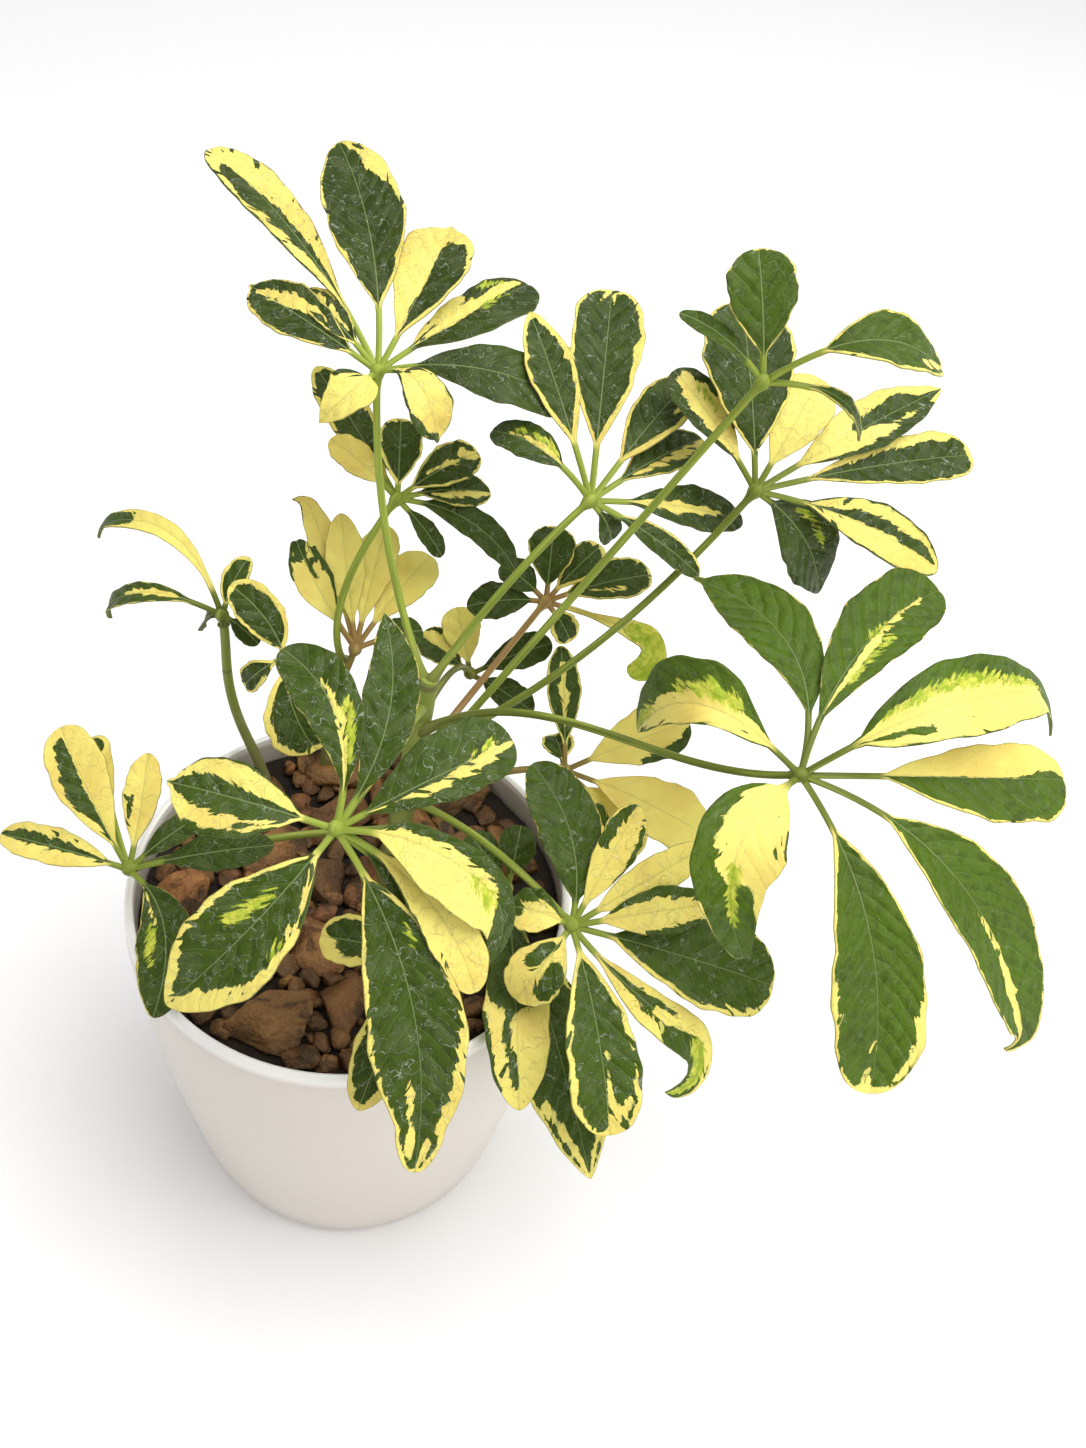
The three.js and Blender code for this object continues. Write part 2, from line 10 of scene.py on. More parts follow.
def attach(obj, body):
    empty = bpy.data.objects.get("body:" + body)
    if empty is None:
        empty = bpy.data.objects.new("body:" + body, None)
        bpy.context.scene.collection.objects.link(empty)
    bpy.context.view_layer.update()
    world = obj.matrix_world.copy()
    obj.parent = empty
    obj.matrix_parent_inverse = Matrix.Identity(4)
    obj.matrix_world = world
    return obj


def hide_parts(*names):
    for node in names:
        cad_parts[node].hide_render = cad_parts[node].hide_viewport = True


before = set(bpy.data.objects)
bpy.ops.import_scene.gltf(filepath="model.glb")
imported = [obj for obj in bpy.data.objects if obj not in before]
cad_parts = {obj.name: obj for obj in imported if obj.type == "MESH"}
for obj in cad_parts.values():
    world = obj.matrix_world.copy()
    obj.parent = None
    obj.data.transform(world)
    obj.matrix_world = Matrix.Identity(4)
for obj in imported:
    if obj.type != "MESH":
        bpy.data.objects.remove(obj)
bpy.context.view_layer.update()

bl_info = {
    "name": "Potted umbrella plant",
    "version": (1, 0, 0),
    "blender": (4, 5, 0),
    "location": "View3D > Sidebar > Umbrella plant",
    "description": "Builds a variegated umbrella plant in a cream pot around its CAD frame",
    "category": "Add Mesh",
}

# All tables are in millimetres, and MM turns them into metres.
MM = 0.001
BODY = "root"

# Pot: the outer side from foot to rim, radius and height.
POT_OUTER = [
    (64, 0), (66.8, 0.4), (69, 2), (70.4, 4.5), (72, 8), (76, 29), (79.5, 54), (83, 79), (86, 104),
    (88.3, 129), (89.8, 154), (90.3, 169), (90, 176), (89.4, 178.4), (88.3, 179.6), (87.2, 180),
]
POT_INNER = [(86.3, 179.4), (85.9, 177.5), (86, 174), (85.8, 154), (82, 104), (75.5, 54), (67, 12)]
POT_FLOOR = 6
POT_FLOOR_RADIUS = 60
BED_TOP = 167
BED_BOTTOM = 161.5
BED_RADIUS = 84.8

# Stems: axis points and the radius at each.
STEMS = {
    "stem_main": [
        (12, 2, 100, 5.5), (13, 8, 167, 5.4), (16, 28, 200, 5), (20, 44, 240, 4.4), (22, 46, 256, 3.6),
    ],
    "stem_second": [(-24, 66, 100, 4), (-24, 67, 167, 3.8), (-22, 72, 195, 3.5), (-18, 78, 228, 2.8)],
    "stem_thin": [(-44, 48, 120, 2.4), (-47, 52, 167, 2.3), (-63, 63, 209, 2.1), (-65, 67, 249, 1.9)],
}

# Blade outlines: where along the blade it is widest, how it widens from its base (above 1 is a
# narrow base), two powers that round off its tip (the first larger is blunter, the second larger is
# more pointed), and the length and width of a small nib at the tip, as shares of the blade's.
SHAPES = {
    "round": (0.66, 1.0, 2.2, 0.5, 0, 0),
    "blunt": (0.67, 1.0, 3.1, 0.5, 0, 0),
    "oval": (0.58, 1.0, 2.0, 0.6, 0, 0),
    "pointed": (0.52, 1.0, 1.8, 0.85, 0, 0),
    "tapered": (0.56, 1.0, 1.75, 0.75, 0, 0),
    "strap": (0.55, 0.85, 2.6, 0.55, 0, 0),
    "nib": (0.62, 1.0, 1.9, 0.6, 0.045, 0.14),
    "club": (0.7, 1.1, 2.4, 0.55, 0.03, 0.14),
    "lobed": (0.6, 0.9, 1.9, 0.62, 0.08, 0.5),
    "shield": (0.55, 1.0, 2.2, 0.66, 0, 0),
    "wedge": (0.34, 0.8, 1.5, 0.85, 0, 0),
    "drop": (0.38, 0.9, 1.3, 1.0, 0, 0),
    "hooked": (0.48, 0.8, 1.6, 0.8, 0, 0),
    "paddle": (0.78, 1.7, 2.6, 0.5, 0, 0),
}

# Marks that many leaflets share. Marks are the ground tone ("g" green or "c" cream), the widths in mm
# of the other tone along the left side, right side and tip, and strokes laid over them. A stroke is
# its tone ("g", "c" or "l" for lime), its two ends as (share of the half width, share of the length),
# and its half width at each end as a share of the blade's half width.
PLAIN = ("g", (0, 0, 0), [])
CREAM = ("c", (0, 0, 0), [])
EDGED = ("g", (1.3, 1.3, 1.6), [])


def leaflet(
    tip, stalk, width, arch, bow=0, roll=0, hook=0, curl=70, aside=0, lean=0, shape="round", marks=PLAIN,
):
    """One leaflet's numbers.

    The tip is seen from the hub. Arch lifts the middle of the leaflet's line and bow bends it sideways.
    Roll turns the blade about the line. Hook is the length of a curled tip, curl the degrees it turns
    through, and aside the degrees it turns sideways instead of down. Lean makes one half wider.
    """
    return {
        "tip": tip, "stalk": stalk, "width": width, "arch": arch, "bow": bow, "roll": roll, "hook": hook,
        "curl": curl, "aside": aside, "lean": lean, "shape": shape, "marks": marks,
    }


# Leaves: the stem and height they grow from, the bends of the petiole, the hub, the way the leaf
# faces, its look, and its leaflets. The look is the tone of its stalks (0 pale green, 0.5 olive,
# 1 russet), how fresh its green is, and how much dried water is on it.
LEAVES = {
    "leaf_top_left": {
        "from": ("stem_main", 251), "bend": ((-8, -3, 0), (-8, -3, 0)),
        "hub": (-10, 103, 354), "face": (-0.1, -0.35, 0.93), "look": (0.05, 0.0, 1),
        "leaflets": [
            leaflet((-77, 73, 38), 26, 21, 4, bow=-5, roll=20, hook=5, shape="club", marks=(
                "c", (0.5, 0, 0), [
                    ("g", 0.3, 0.02, -0.1, 0.4, 0.16, 0.32),
                    ("g", -0.1, 0.4, -0.4, 0.62, 0.34, 0.46),
                    ("g", -0.4, 0.62, -0.35, 0.84, 0.46, 0.22),
                ])),
            leaflet((-30, 80, 45), 22, 29.5, 4, bow=-6, shape="shield", marks=(
                "g", (0.9, 1.2, 0.5), [
                    ("c", 1, 0.62, 0.75, 0.8, 0.1, 0.3),
                    ("c", 0.75, 0.8, 0.5, 0.97, 0.26, 0.14),
                ])),
            leaflet((18, 54, 31), 13, 28, 3, bow=-2, shape="club", marks=(
                "c", (0, 0, 0), [
                    ("g", 0.3, 0.05, 0.52, 0.45, 0.14, 0.5),
                    ("g", 0.52, 0.45, 0.4, 0.76, 0.5, 0.4),
                    ("c", 1.08, 0.4, 1, 1, 0.14, 0.16),
                    ("g", -0.05, 0.2, 0, 0.34, 0.06, 0.07),
                ])),
            leaflet((49, 50, 14), 14, 27, 4, bow=-1, roll=-10, lean=-0.2, shape="round", marks=(
                "g", (0, 0, 0), [
                    ("c", -0.1, 0, -0.15, 0.3, 0.12, 0.26),
                    ("c", -0.15, 0.3, -0.42, 0.92, 0.26, 0.24),
                    ("c", -0.75, 0.1, -0.8, 0.5, 0.25, 0.3),
                    ("l", 0.05, 0.6, -0.1, 0.8, 0.08, 0.1),
                    ("l", -0.8, 0.72, -0.7, 0.84, 0.1, 0.1),
                ])),
            leaflet((74, 8, -10), 12, 25, 13, lean=-0.1, shape="oval"),
            leaflet((26, -20, -14), 6, 17, 15, bow=4, shape="club", marks=(
                "c", (0.4, 0.8, 0), [
                    ("g", 0.5, 0.98, 0.9, 0.72, 0.2, 0.2),
                    ("g", -0.1, 0.98, 0.2, 1, 0.2, 0.3),
                ])),
            leaflet((-18, -19, -13), 4, 20, 6, bow=3, shape="wedge", marks=(
                "c", (0, 0, 0), [("g", 0.9, 0.1, 0.95, 0.35, 0.25, 0.12)])),
            leaflet((-55, 32, 8), 10, 22, 6, bow=2, shape="nib", marks=(
                "g", (1, 0.6, 0.6), [
                    ("c", 0.0, 0.88, 0.3, 0.6, 0.14, 0.28),
                    ("c", 0.3, 0.6, 0.55, 0.3, 0.28, 0.14),
                    ("g", 0.6, 0.84, 0.75, 0.7, 0.26, 0.2),
                ])),
            leaflet((-32, 26, 13), 12, 12, 3, shape="strap", marks=(
                "g", (1, 1, 1), [("c", 0.3, 0.2, 0.2, 0.8, 0.16, 0.3)])),
        ],
    },
    "leaf_top_left_back": {
        "from": ("stem_second", 225), "bend": ((-12, -15, 3), (-12, -13, 1)),
        "hub": (-2, 106, 294), "face": (0.1, -0.4, 0.9), "look": (0.1, 0.2, 0.6),
        "leaflets": [
            leaflet((-29, 11, 16), 8, 14, 3, shape="strap", marks=CREAM),
            leaflet((-41, 41, 28), 8, 18, 3, shape="oval", marks=("g", (2, 1.4, 3), [])),
            leaflet((-2, 17, 26), 5, 18, 3, shape="round", marks=("g", (1.8, 1, 1.2), [])),
            leaflet((29, 21, 12), 6, 18, 4, shape="round", marks=(
                "g", (1, 1, 1), [("c", -0.3, 0.8, 0.3, 1, 0.25, 0.3), ("c", -0.2, 0.3, 0, 0.7, 0.08, 0.12)])),
            leaflet((36, 14, -2), 8, 16, 5, shape="oval", marks=(
                "g", (0.6, 0.6, 0), [("c", 0.35, 0.2, 0.2, 0.95, 0.15, 0.26)])),
            leaflet((50, -3, -26), 8, 14, 8, bow=4, shape="strap"),
            leaflet((20, -6, -22), 6, 9, 3, shape="strap"),
        ],
    },
    "leaf_left_thin": {
        "from": ("stem_thin", 249), "bend": ((0, 0, 0), (0, 0, 0)),
        "hub": (-65.5, 67.5, 254), "face": (-0.1, -0.3, 0.95), "look": (0.5, 0.3, 0.3),
        "leaflets": [
            leaflet((-54, 33, 12), 7, 10, 12, bow=-9, hook=11, curl=80, aside=-50, shape="blunt", marks=(
                "c", (0, 0, 0), [("g", 0, 0.74, 0, 1, 0.7, 1.2)])),
            leaflet((-46, 3, -4), 10, 10, 11, hook=11, aside=-35, shape="strap", marks=(
                "g", (0.4, 0.3, 0), [("c", 0, 0.15, 0.2, 0.6, 0.4, 0.2)])),
            leaflet((-10, 6, -14), 4, 10, 3, shape="strap"),
            leaflet((8, 16, 18), 4, 11, 3, shape="strap", marks=EDGED),
            leaflet((16, -6, -8), 4, 9, 3, shape="strap"),
        ],
    },
    "leaf_left_middle": {
        "from": ("stem_second", 214), "bend": ((0, -5, 5), (0, -5, 5)),
        "hub": (-37, 54, 249), "face": (-0.1, -0.5, 0.86), "look": (0.4, 0.1, 0.8),
        "leaflets": [
            leaflet((-24, 13, 22), 2, 17, 3, bow=-3, shape="strap", marks=("g", (1.2, 2.2, 2), [])),
            leaflet((16, -19, -32), 4, 27, 4, bow=-3, shape="round", marks=("g", (1.2, 2.8, 2.2), [])),
            leaflet((-16, -6, -14), 4, 12, 3, shape="round", marks=("g", (1.2, 1.2, 1.2), [])),
        ],
    },
    "leaf_left_low": {
        "from": ("stem_main", 190), "bend": ((0, 0, 8), (0, 0, 8)),
        "hub": (-81, -26, 204), "face": (-0.15, -0.4, 0.9), "look": (0.25, 0.2, 0.6),
        "leaflets": [
            leaflet((-54, 11, -4), 6, 15, 5, roll=10, shape="strap", marks=(
                "c", (0, 0, 0), [("g", 0.1, 0.05, 0.2, 0.95, 0.2, 0.34)])),
            leaflet((-35, 40, 30), 9, 22, 5, shape="round", marks=(
                "c", (0, 0, 0), [
                    ("g", -0.05, 0, -0.4, 0.45, 0.08, 0.34),
                    ("g", -0.4, 0.45, -0.25, 0.9, 0.34, 0.2),
                ])),
            leaflet((-19, 36, 24), 22, 9, 4, hook=13, curl=150, aside=-70, shape="strap", marks=(
                "c", (0, 0, 0), [("g", 0, 0.72, 0, 1, 0.5, 0.9)])),
            leaflet((-2, 40, 22), 8, 15, 3, bow=-2, shape="oval", marks=(
                "c", (0, 0, 0), [("g", -0.7, 0.3, -0.5, 0.5, 0.12, 0.1)])),
            leaflet((54, 12, 12), 14, 16, 4, shape="oval"),
            leaflet((22, -50, -20), 8, 22, 10, bow=13, shape="oval", marks=(
                "g", (0, 0.6, 0), [
                    ("c", 0.5, 0.1, 0.35, 0.36, 0.1, 0.1),
                    ("l", 0.5, 0.4, 0.6, 0.66, 0.15, 0.1),
                ])),
            leaflet((28, 20, 18), 8, 11, 3, shape="strap"),
        ],
    },
    "leaf_back_left": {
        "from": ("stem_second", 216), "bend": ((0, 0, -1), (0, 0, -1)),
        "hub": (-13, 75, 238), "face": (0, -0.45, 0.89), "look": (0.85, 0.3, 0.3),
        "leaflets": [
            leaflet((-27, 43, 34), 12, 13, 3, bow=-1, hook=11, aside=-70, shape="pointed", marks=(
                "c", (0.3, 0, 0), [])),
            leaflet((-30, 30, 26), 12, 16, 5, bow=2, hook=4, shape="pointed", marks=(
                "c", (0, 0, 0), [
                    ("g", -0.1, 0.82, 0, 1, 0.5, 1.4),
                    ("g", 0.95, 0.15, 0.85, 0.8, 0.12, 0.24),
                    ("g", -1, 0.55, -0.9, 0.85, 0.1, 0.24),
                    ("g", 0.15, 0.5, 0.1, 0.75, 0.04, 0.12),
                ])),
            leaflet((-14, 41, 36), 10, 16, 3, shape="oval", marks=CREAM),
            leaflet((24, 41, 20), 12, 20, 4, shape="round", marks=CREAM),
            leaflet((5, 42, 32), 10, 17, 3, shape="round", marks=CREAM),
            leaflet((26, 12, 4), 8, 14, 3, shape="strap"),
        ],
    },
    "leaf_front": {
        "from": ("stem_main", 242), "bend": ((0, -11, 8), (0, -11, 8)),
        "hub": (5, -51, 279), "face": (0, -0.45, 0.89), "look": (0.1, 0.3, 1),
        "leaflets": [
            leaflet((-58, 7, 4), 10, 27, 5, lean=0.1, shape="nib", marks=(
                "c", (0, 0, 0), [
                    ("g", -0.12, 0.14, 0.05, 0.88, 0.36, 0.46),
                    ("g", -1, 0.2, -0.95, 0.75, 0.16, 0.12),
                    ("g", 1, 0.1, 1, 0.85, 0.07, 0.05),
                    ("g", -0.7, 0.28, -0.65, 0.42, 0.08, 0.06),
                    ("g", -0.5, 0.12, -0.45, 0.2, 0.06, 0.06),
                ])),
            leaflet((-48, -47, -46), 8, 34, 7, bow=4, shape="tapered", marks=(
                "g", (3, 1.9, 5), [
                    ("c", -1, 0.66, -0.5, 0.95, 0.28, 0.45),
                    ("c", 1, 0.75, 0.62, 0.97, 0.16, 0.34),
                    ("c", -0.85, 0.38, -0.5, 0.2, 0.1, 0.02),
                    ("g", -1, 0.08, -0.98, 0.28, 0.14, 0.1),
                    ("l", 0.2, 0.28, 0.42, 0.5, 0.1, 0.13),
                    ("l", -0.72, 0.4, -0.7, 0.47, 0.09, 0.07),
                ])),
            leaflet((41, -75, -84), 15, 33, 5, bow=12, shape="lobed", marks=(
                "g", (1.8, 1.5, 1.4), [
                    ("c", -0.95, 0.56, -0.75, 0.85, 0.09, 0.16),
                    ("c", 0.22, 0.68, 0.42, 0.92, 0.03, 0.2),
                    ("c", -0.4, 0.9, -0.12, 0.99, 0.14, 0.1),
                    ("l", -0.55, 0.2, -0.5, 0.27, 0.06, 0.05),
                ])),
            leaflet((53, -31, -38), 14, 18, 5, bow=8, shape="round", marks=(
                "c", (0, 0, 0), [("g", 1, 0.15, 1, 0.85, 0.07, 0.05)])),
            leaflet(
                (53, -7, -12), 11, 23, 9, bow=4, hook=33, curl=85, aside=62, lean=-0.3, shape="hooked",
                marks=("c", (0, 0, 0), [
                    ("g", -1, 0, -0.95, 0.6, 0.3, 0.56),
                    ("g", -0.5, 0.66, 0.2, 1, 0.5, 1.6),
                    ("l", 0.05, 0.5, 0.2, 0.62, 0.18, 0.26),
                ])),
            leaflet((54, 35, 16), 10, 25, 4, lean=0.15, shape="blunt", marks=(
                "g", (0, 0, 0), [
                    ("c", 0.35, 0.03, 0.34, 0.45, 0.12, 0.2),
                    ("c", 0.34, 0.45, 0.0, 1, 0.2, 0.17),
                    ("l", -0.12, 0.74, -0.2, 0.92, 0.05, 0.07),
                ])),
            leaflet((3, 70, 34), 10, 19, 6, bow=-10, shape="pointed", marks=("g", (0.2, 0.2, 0), [])),
            leaflet((-28, 50, 30), 10, 21, 9, bow=-11, shape="round", marks=(
                "g", (0.2, 0, 0), [
                    ("c", 0, 0, 0.1, 0.4, 0.22, 0.2),
                    ("c", 0.1, 0.4, 0.1, 0.7, 0.2, 0.04),
                    ("l", 0.4, 0.2, 0.5, 0.48, 0.26, 0.2),
                ])),
            leaflet((54, -12, -34), 12, 19, 3, shape="oval"),
        ],
    },
    "leaf_right_low": {
        "from": ("stem_main", 202), "bend": ((0, 0, 13), (0, 0, 13)),
        "hub": (89, -34, 219), "face": (0.1, -0.45, 0.89), "look": (0.2, 0.45, 0.9),
        "leaflets": [
            leaflet((-23, 50, 30), 7, 24, 5, bow=-7, shape="strap", marks=("g", (0.2, 0.2, 0), [])),
            leaflet((19, 40, 26), 8, 17, 3, roll=20, shape="round", marks=(
                "c", (0, 0, 0), [
                    ("g", -0.75, 0.55, -0.5, 0.95, 0.26, 0.3),
                    ("g", 0.95, 0.3, 0.8, 0.85, 0.06, 0.1),
                ])),
            leaflet((45, 30, 19), 10, 15, 3, roll=20, shape="strap", marks=CREAM),
            leaflet((50, 12, 9), 10, 18, 3, shape="oval", marks=(
                "c", (0, 0, 0), [
                    ("g", -0.85, 0.15, -0.8, 0.9, 0.22, 0.28),
                    ("g", 0.9, 0.4, 0.9, 0.85, 0.1, 0.16),
                ])),
            leaflet((80, 1, -22), 13, 34, 6, shape="round", marks=(
                "g", (0.4, 2, 1.3), [("c", 1, 0.25, 1, 0.5, 0.06, 0.1)])),
            leaflet(
                (48.5, -23, -25), 12, 17, 4, bow=-3, roll=-20, hook=33, curl=160, aside=70, lean=-0.15,
                shape="tapered", marks=("c", (0, 0, 0), [
                    ("g", -0.05, 0.05, -0.1, 0.35, 0.25, 0.32),
                    ("g", -0.35, 0.35, -0.4, 0.5, 0.16, 0.1),
                    ("g", 0.3, 0.35, 0.35, 0.5, 0.12, 0.08),
                    ("g", 0.6, 0.5, 0.2, 1, 0.4, 1.2),
                    ("l", 0.1, 0.68, 0.2, 1, 0.5, 0.5),
                ])),
            leaflet((23, -64, -33), 8, 26.5, 8, bow=1, shape="blunt", marks=(
                "g", (1.8, 2.2, 2.2), [
                    ("c", -0.12, 0.58, -0.12, 0.97, 0.03, 0.15),
                    ("c", -0.6, 0.84, -0.3, 0.97, 0.14, 0.22),
                    ("g", -1, 0.6, -1, 0.78, 0.12, 0.12),
                ])),
            leaflet((-17, -21, -22), 4, 22, 6, shape="oval", marks=(
                "c", (0, 0, 0), [
                    ("g", -0.6, 0.42, -0.58, 0.7, 0.34, 0.3),
                    ("g", 0.42, 0.25, 0.4, 0.42, 0.34, 0.3),
                    ("g", -0.1, 0.1, -0.05, 0.2, 0.15, 0.1),
                ])),
            leaflet((-24, 4, 2), 4, 17, 5, shape="oval", marks=(
                "c", (0, 0, 0), [
                    ("g", 0.95, 0.1, 0.9, 0.8, 0.25, 0.45),
                    ("g", 0, 0.95, 0.2, 1, 0.5, 0.5),
                ])),
        ],
    },
    "leaf_right": {
        "from": ("stem_main", 230), "bend": ((0, 0, 46), (0, 0, -14)),
        "hub": (159, -7, 289), "face": (0.1, -0.4, 0.91), "look": (0.42, 0.85, 0.25),
        "leaflets": [
            leaflet((-57, 21, -12), 7, 23, 36, roll=-28, lean=-0.4, shape="shield", marks=(
                "c", (0.5, 0, 0), [
                    ("g", 0.95, 0.3, 0.85, 0.95, 0.6, 0.66),
                    ("g", 1, 0.02, 0.95, 0.3, 0.16, 0.6),
                    ("l", 0.4, 0.26, 0.34, 0.6, 0.2, 0.12),
                    ("l", 0.2, 0.86, 0.3, 1, 0.2, 0.3),
                ])),
            leaflet((-43, 75, 18), 18, 28, 5, bow=-18, shape="nib", marks=("g", (0.3, 0.3, 0), [])),
            leaflet((50, 85, 20), 19, 28, 5, bow=10, lean=0.1, shape="blunt", marks=(
                "g", (0.2, 0.2, 0.2), [
                    ("c", 0.2, 0.02, 0.3, 0.3, 0.06, 0.17),
                    ("c", 0.3, 0.3, 0.1, 0.6, 0.17, 0.1),
                    ("c", 0.1, 0.6, 0.02, 0.88, 0.1, 0.07),
                    ("l", 0.5, 0.25, 0.4, 0.58, 0.1, 0.12),
                    ("l", -0.05, 0.5, 0.05, 0.62, 0.08, 0.08),
                ])),
            leaflet(
                (84, 46, 11), 17, 29, 17, bow=3, hook=24, curl=95, aside=65, lean=0.08, shape="hooked",
                marks=("c", (0, 0.3, 0), [
                    ("g", -1, 0, -1, 0.5, 0.45, 0.6),
                    ("g", -1, 0.5, -0.9, 1, 0.6, 0.62),
                    ("g", 0.36, 0.05, 0.52, 0.25, 0.12, 0.18),
                    ("l", -0.5, 0.12, -0.42, 0.45, 0.1, 0.17),
                    ("l", -0.42, 0.45, -0.32, 0.8, 0.17, 0.1),
                    ("g", -0.5, 0.86, -0.1, 1, 0.5, 1.2),
                ])),
            leaflet((99, 24, -9), 28, 29.5, 4, bow=-1, lean=-0.16, shape="blunt", marks=(
                "g", (0, 0.8, 0.4), [
                    ("c", -0.62, 0, -0.62, 0.7, 0.62, 0.62),
                    ("c", -0.72, 0.7, -0.82, 1, 0.6, 0.55),
                    ("c", 1, 0.05, 1, 0.5, 0.12, 0.1),
                ])),
            leaflet(
                (92, -49, -61), 29, 36, 8, bow=15, roll=-14, hook=12, curl=100, aside=60, lean=0.1,
                shape="nib", marks=("g", (0.7, 1, 1), [
                    ("c", 0.05, 0.4, 0.08, 0.6, 0.03, 0.09),
                    ("c", 0.08, 0.6, 0.2, 0.95, 0.11, 0.24),
                ])),
            leaflet((39, -78, -72), 19, 35, 6, bow=10, shape="blunt", marks=(
                "g", (0.8, 1.3, 2.6), [
                    ("c", -0.95, 0.7, -0.78, 0.92, 0.12, 0.14),
                    ("c", 1, 0.5, 0.95, 0.7, 0.06, 0.12),
                    ("c", 0.05, 0.8, 0.1, 1, 0.015, 0.1),
                    ("c", 0.32, 0.88, 0.35, 1, 0.02, 0.08),
                ])),
            leaflet((-12, -48, -43), 4, 32, 17, bow=-16, hook=8, shape="drop", marks=(
                "c", (0, 0, 0), [
                    ("g", 1, 0.12, 0.75, 0.55, 0.2, 0.4),
                    ("g", 0.5, 0.6, 0.3, 0.8, 0.4, 0.7),
                    ("g", -0.2, 0.7, -0.3, 1, 0.6, 1.5),
                    ("l", -0.05, 0.5, -0.05, 0.72, 0.16, 0.18),
                    ("g", -1, 0.2, -1, 0.34, 0.07, 0.06),
                ])),
        ],
    },
    "leaf_top_middle": {
        "from": ("stem_main", 253), "bend": ((0, 0, 8), (0, 0, 8)),
        "hub": (74, 77, 329), "face": (0, -0.4, 0.92), "look": (0.15, 0.1, 0.8),
        "leaflets": [
            leaflet((-32, 52, 42), 20, 18, 4, shape="tapered", marks=("g", (1.6, 2, 3), [])),
            leaflet((-3, 68, 46), 18, 27, 4, shape="blunt", marks=(
                "g", (1.2, 1.8, 1.4), [
                    ("c", 1, 0.3, 0.95, 0.62, 0.1, 0.2),
                    ("c", -0.35, 0.92, -0.2, 1, 0.1, 0.16),
                    ("c", 0.1, 0.9, 0.15, 1, 0.06, 0.14),
                ])),
            leaflet((34, 63, 20), 18, 22, 4, roll=-15, shape="oval", marks=(
                "g", (1.2, 2.2, 1), [("c", 0.6, 0.5, 0.3, 0.9, 0.1, 0.14)])),
            leaflet((60, 25, -19), 14, 19, 4, shape="oval", marks=(
                "g", (0, 0, 0), [
                    ("c", 0, 0, 0.1, 0.4, 0.3, 0.36),
                    ("c", 0.1, 0.4, 0, 0.78, 0.3, 0.12),
                ])),
            leaflet((40, 48, 0), 14, 18, 4, shape="oval", marks=(
                "g", (0.6, 0.6, 0), [("c", 0.3, 0.15, 0.35, 0.95, 0.14, 0.3)])),
            leaflet((-40, 20, 10), 14, 15, 9, bow=-1, shape="strap", marks=(
                "g", (0, 0, 0), [
                    ("c", 0.2, 0, 0.1, 0.8, 0.25, 0.06),
                    ("l", 0.5, 0.15, 0.4, 0.7, 0.2, 0.12),
                ])),
            leaflet((45, -3, -26), 12, 11, 4, shape="strap", marks=("g", (1, 0, 0), [])),
            leaflet((10, -2, -16), 5, 11, 3, shape="round"),
        ],
    },
    "leaf_top_right": {
        "from": ("stem_main", 222), "bend": ((5, 0, -19), (5, 0, -19)),
        "hub": (134, 90, 334), "face": (0.1, -0.4, 0.92), "look": (0.3, 0.05, 0.9),
        "leaflets": [
            leaflet((-15, 51, 46), 12, 35, 4, shape="round", marks=("g", (0.9, 1.1, 0.6), [])),
            leaflet((-36, 31, 26), 12, 18, 3, shape="round", marks=(
                "c", (0, 0, 0), [
                    ("g", -1, 0, -0.75, 0.95, 0.35, 0.36),
                    ("g", 1, 0.3, 0.85, 0.95, 0.2, 0.3),
                    ("g", -0.3, 0.95, 0.3, 1, 0.2, 0.2),
                    ("l", 0.4, 0.5, 0.4, 0.75, 0.08, 0.08),
                ])),
            leaflet((19, 39, 26), 10, 22, 3, shape="round", marks=CREAM),
            leaflet((70, 60, 16), 18, 21, 4, shape="pointed", marks=(
                "c", (0, 0, 0), [
                    ("g", -0.15, 0.4, -0.1, 0.75, 0.2, 0.5),
                    ("g", 0.2, 0.82, 0.05, 0.98, 0.5, 0.3),
                    ("g", 0.95, 0.1, 0.85, 0.85, 0.12, 0.3),
                ])),
            leaflet((85, 42, 0), 20, 21, 4, shape="blunt", marks=(
                "g", (1, 1, 2.2), [("c", -0.8, 0.06, -0.92, 0.85, 0.3, 0.3)])),
            leaflet((76, 1, -26), 18, 23, 5, bow=2, shape="oval", marks=(
                "c", (0.6, 0.5, 0), [
                    ("g", 0, 0.02, -0.25, 0.35, 0.1, 0.22),
                    ("g", -0.25, 0.35, -0.3, 0.92, 0.22, 0.24),
                ])),
            leaflet((33, -6, -40), 6, 31, 6, bow=3, shape="pointed", marks=(
                "g", (0, 0, 0), [
                    ("l", -0.5, 0.25, -0.4, 0.62, 0.1, 0.06),
                    ("c", -0.5, 0.16, -0.48, 0.32, 0.06, 0.04),
                ])),
        ],
    },
    "leaf_top_right_young": {
        "from": ("stem_main", 208), "bend": ((0, 0, 0), (0, 0, 0)),
        "hub": (125, 76, 389), "face": (0, -0.35, 0.94), "look": (0.2, 0.6, 0.4),
        "leaflets": [
            leaflet((-9, 20, 36), 8, 24, 3, shape="round", marks=("g", (0.3, 0.5, 0.5), [])),
            leaflet((-31, 12, 14), 8, 8, 5, shape="strap"),
            leaflet((61, 16, 4), 16, 23, 19, shape="oval", marks=(
                "g", (0.8, 1.1, 1), [("c", 0.6, 0.76, 0.1, 0.98, 0.14, 0.2)])),
            leaflet((39, 6, -22), 12, 7, 12, shape="strap", marks=("g", (0.6, 0.6, 0.6), [])),
        ],
    },
    "leaf_middle_back": {
        "from": ("stem_main", 215), "bend": ((0, 0, 0), (0, 0, 0)),
        "hub": (62, 111, 246), "face": (0, -0.4, 0.92), "look": (0.9, 0.2, 0.5),
        "leaflets": [
            leaflet((-1, 21, 24), 6, 20, 3, shape="round", marks=("g", (0.7, 0.7, 0.8), [])),
            leaflet((-33, -8, -2), 6, 17, 4, shape="oval"),
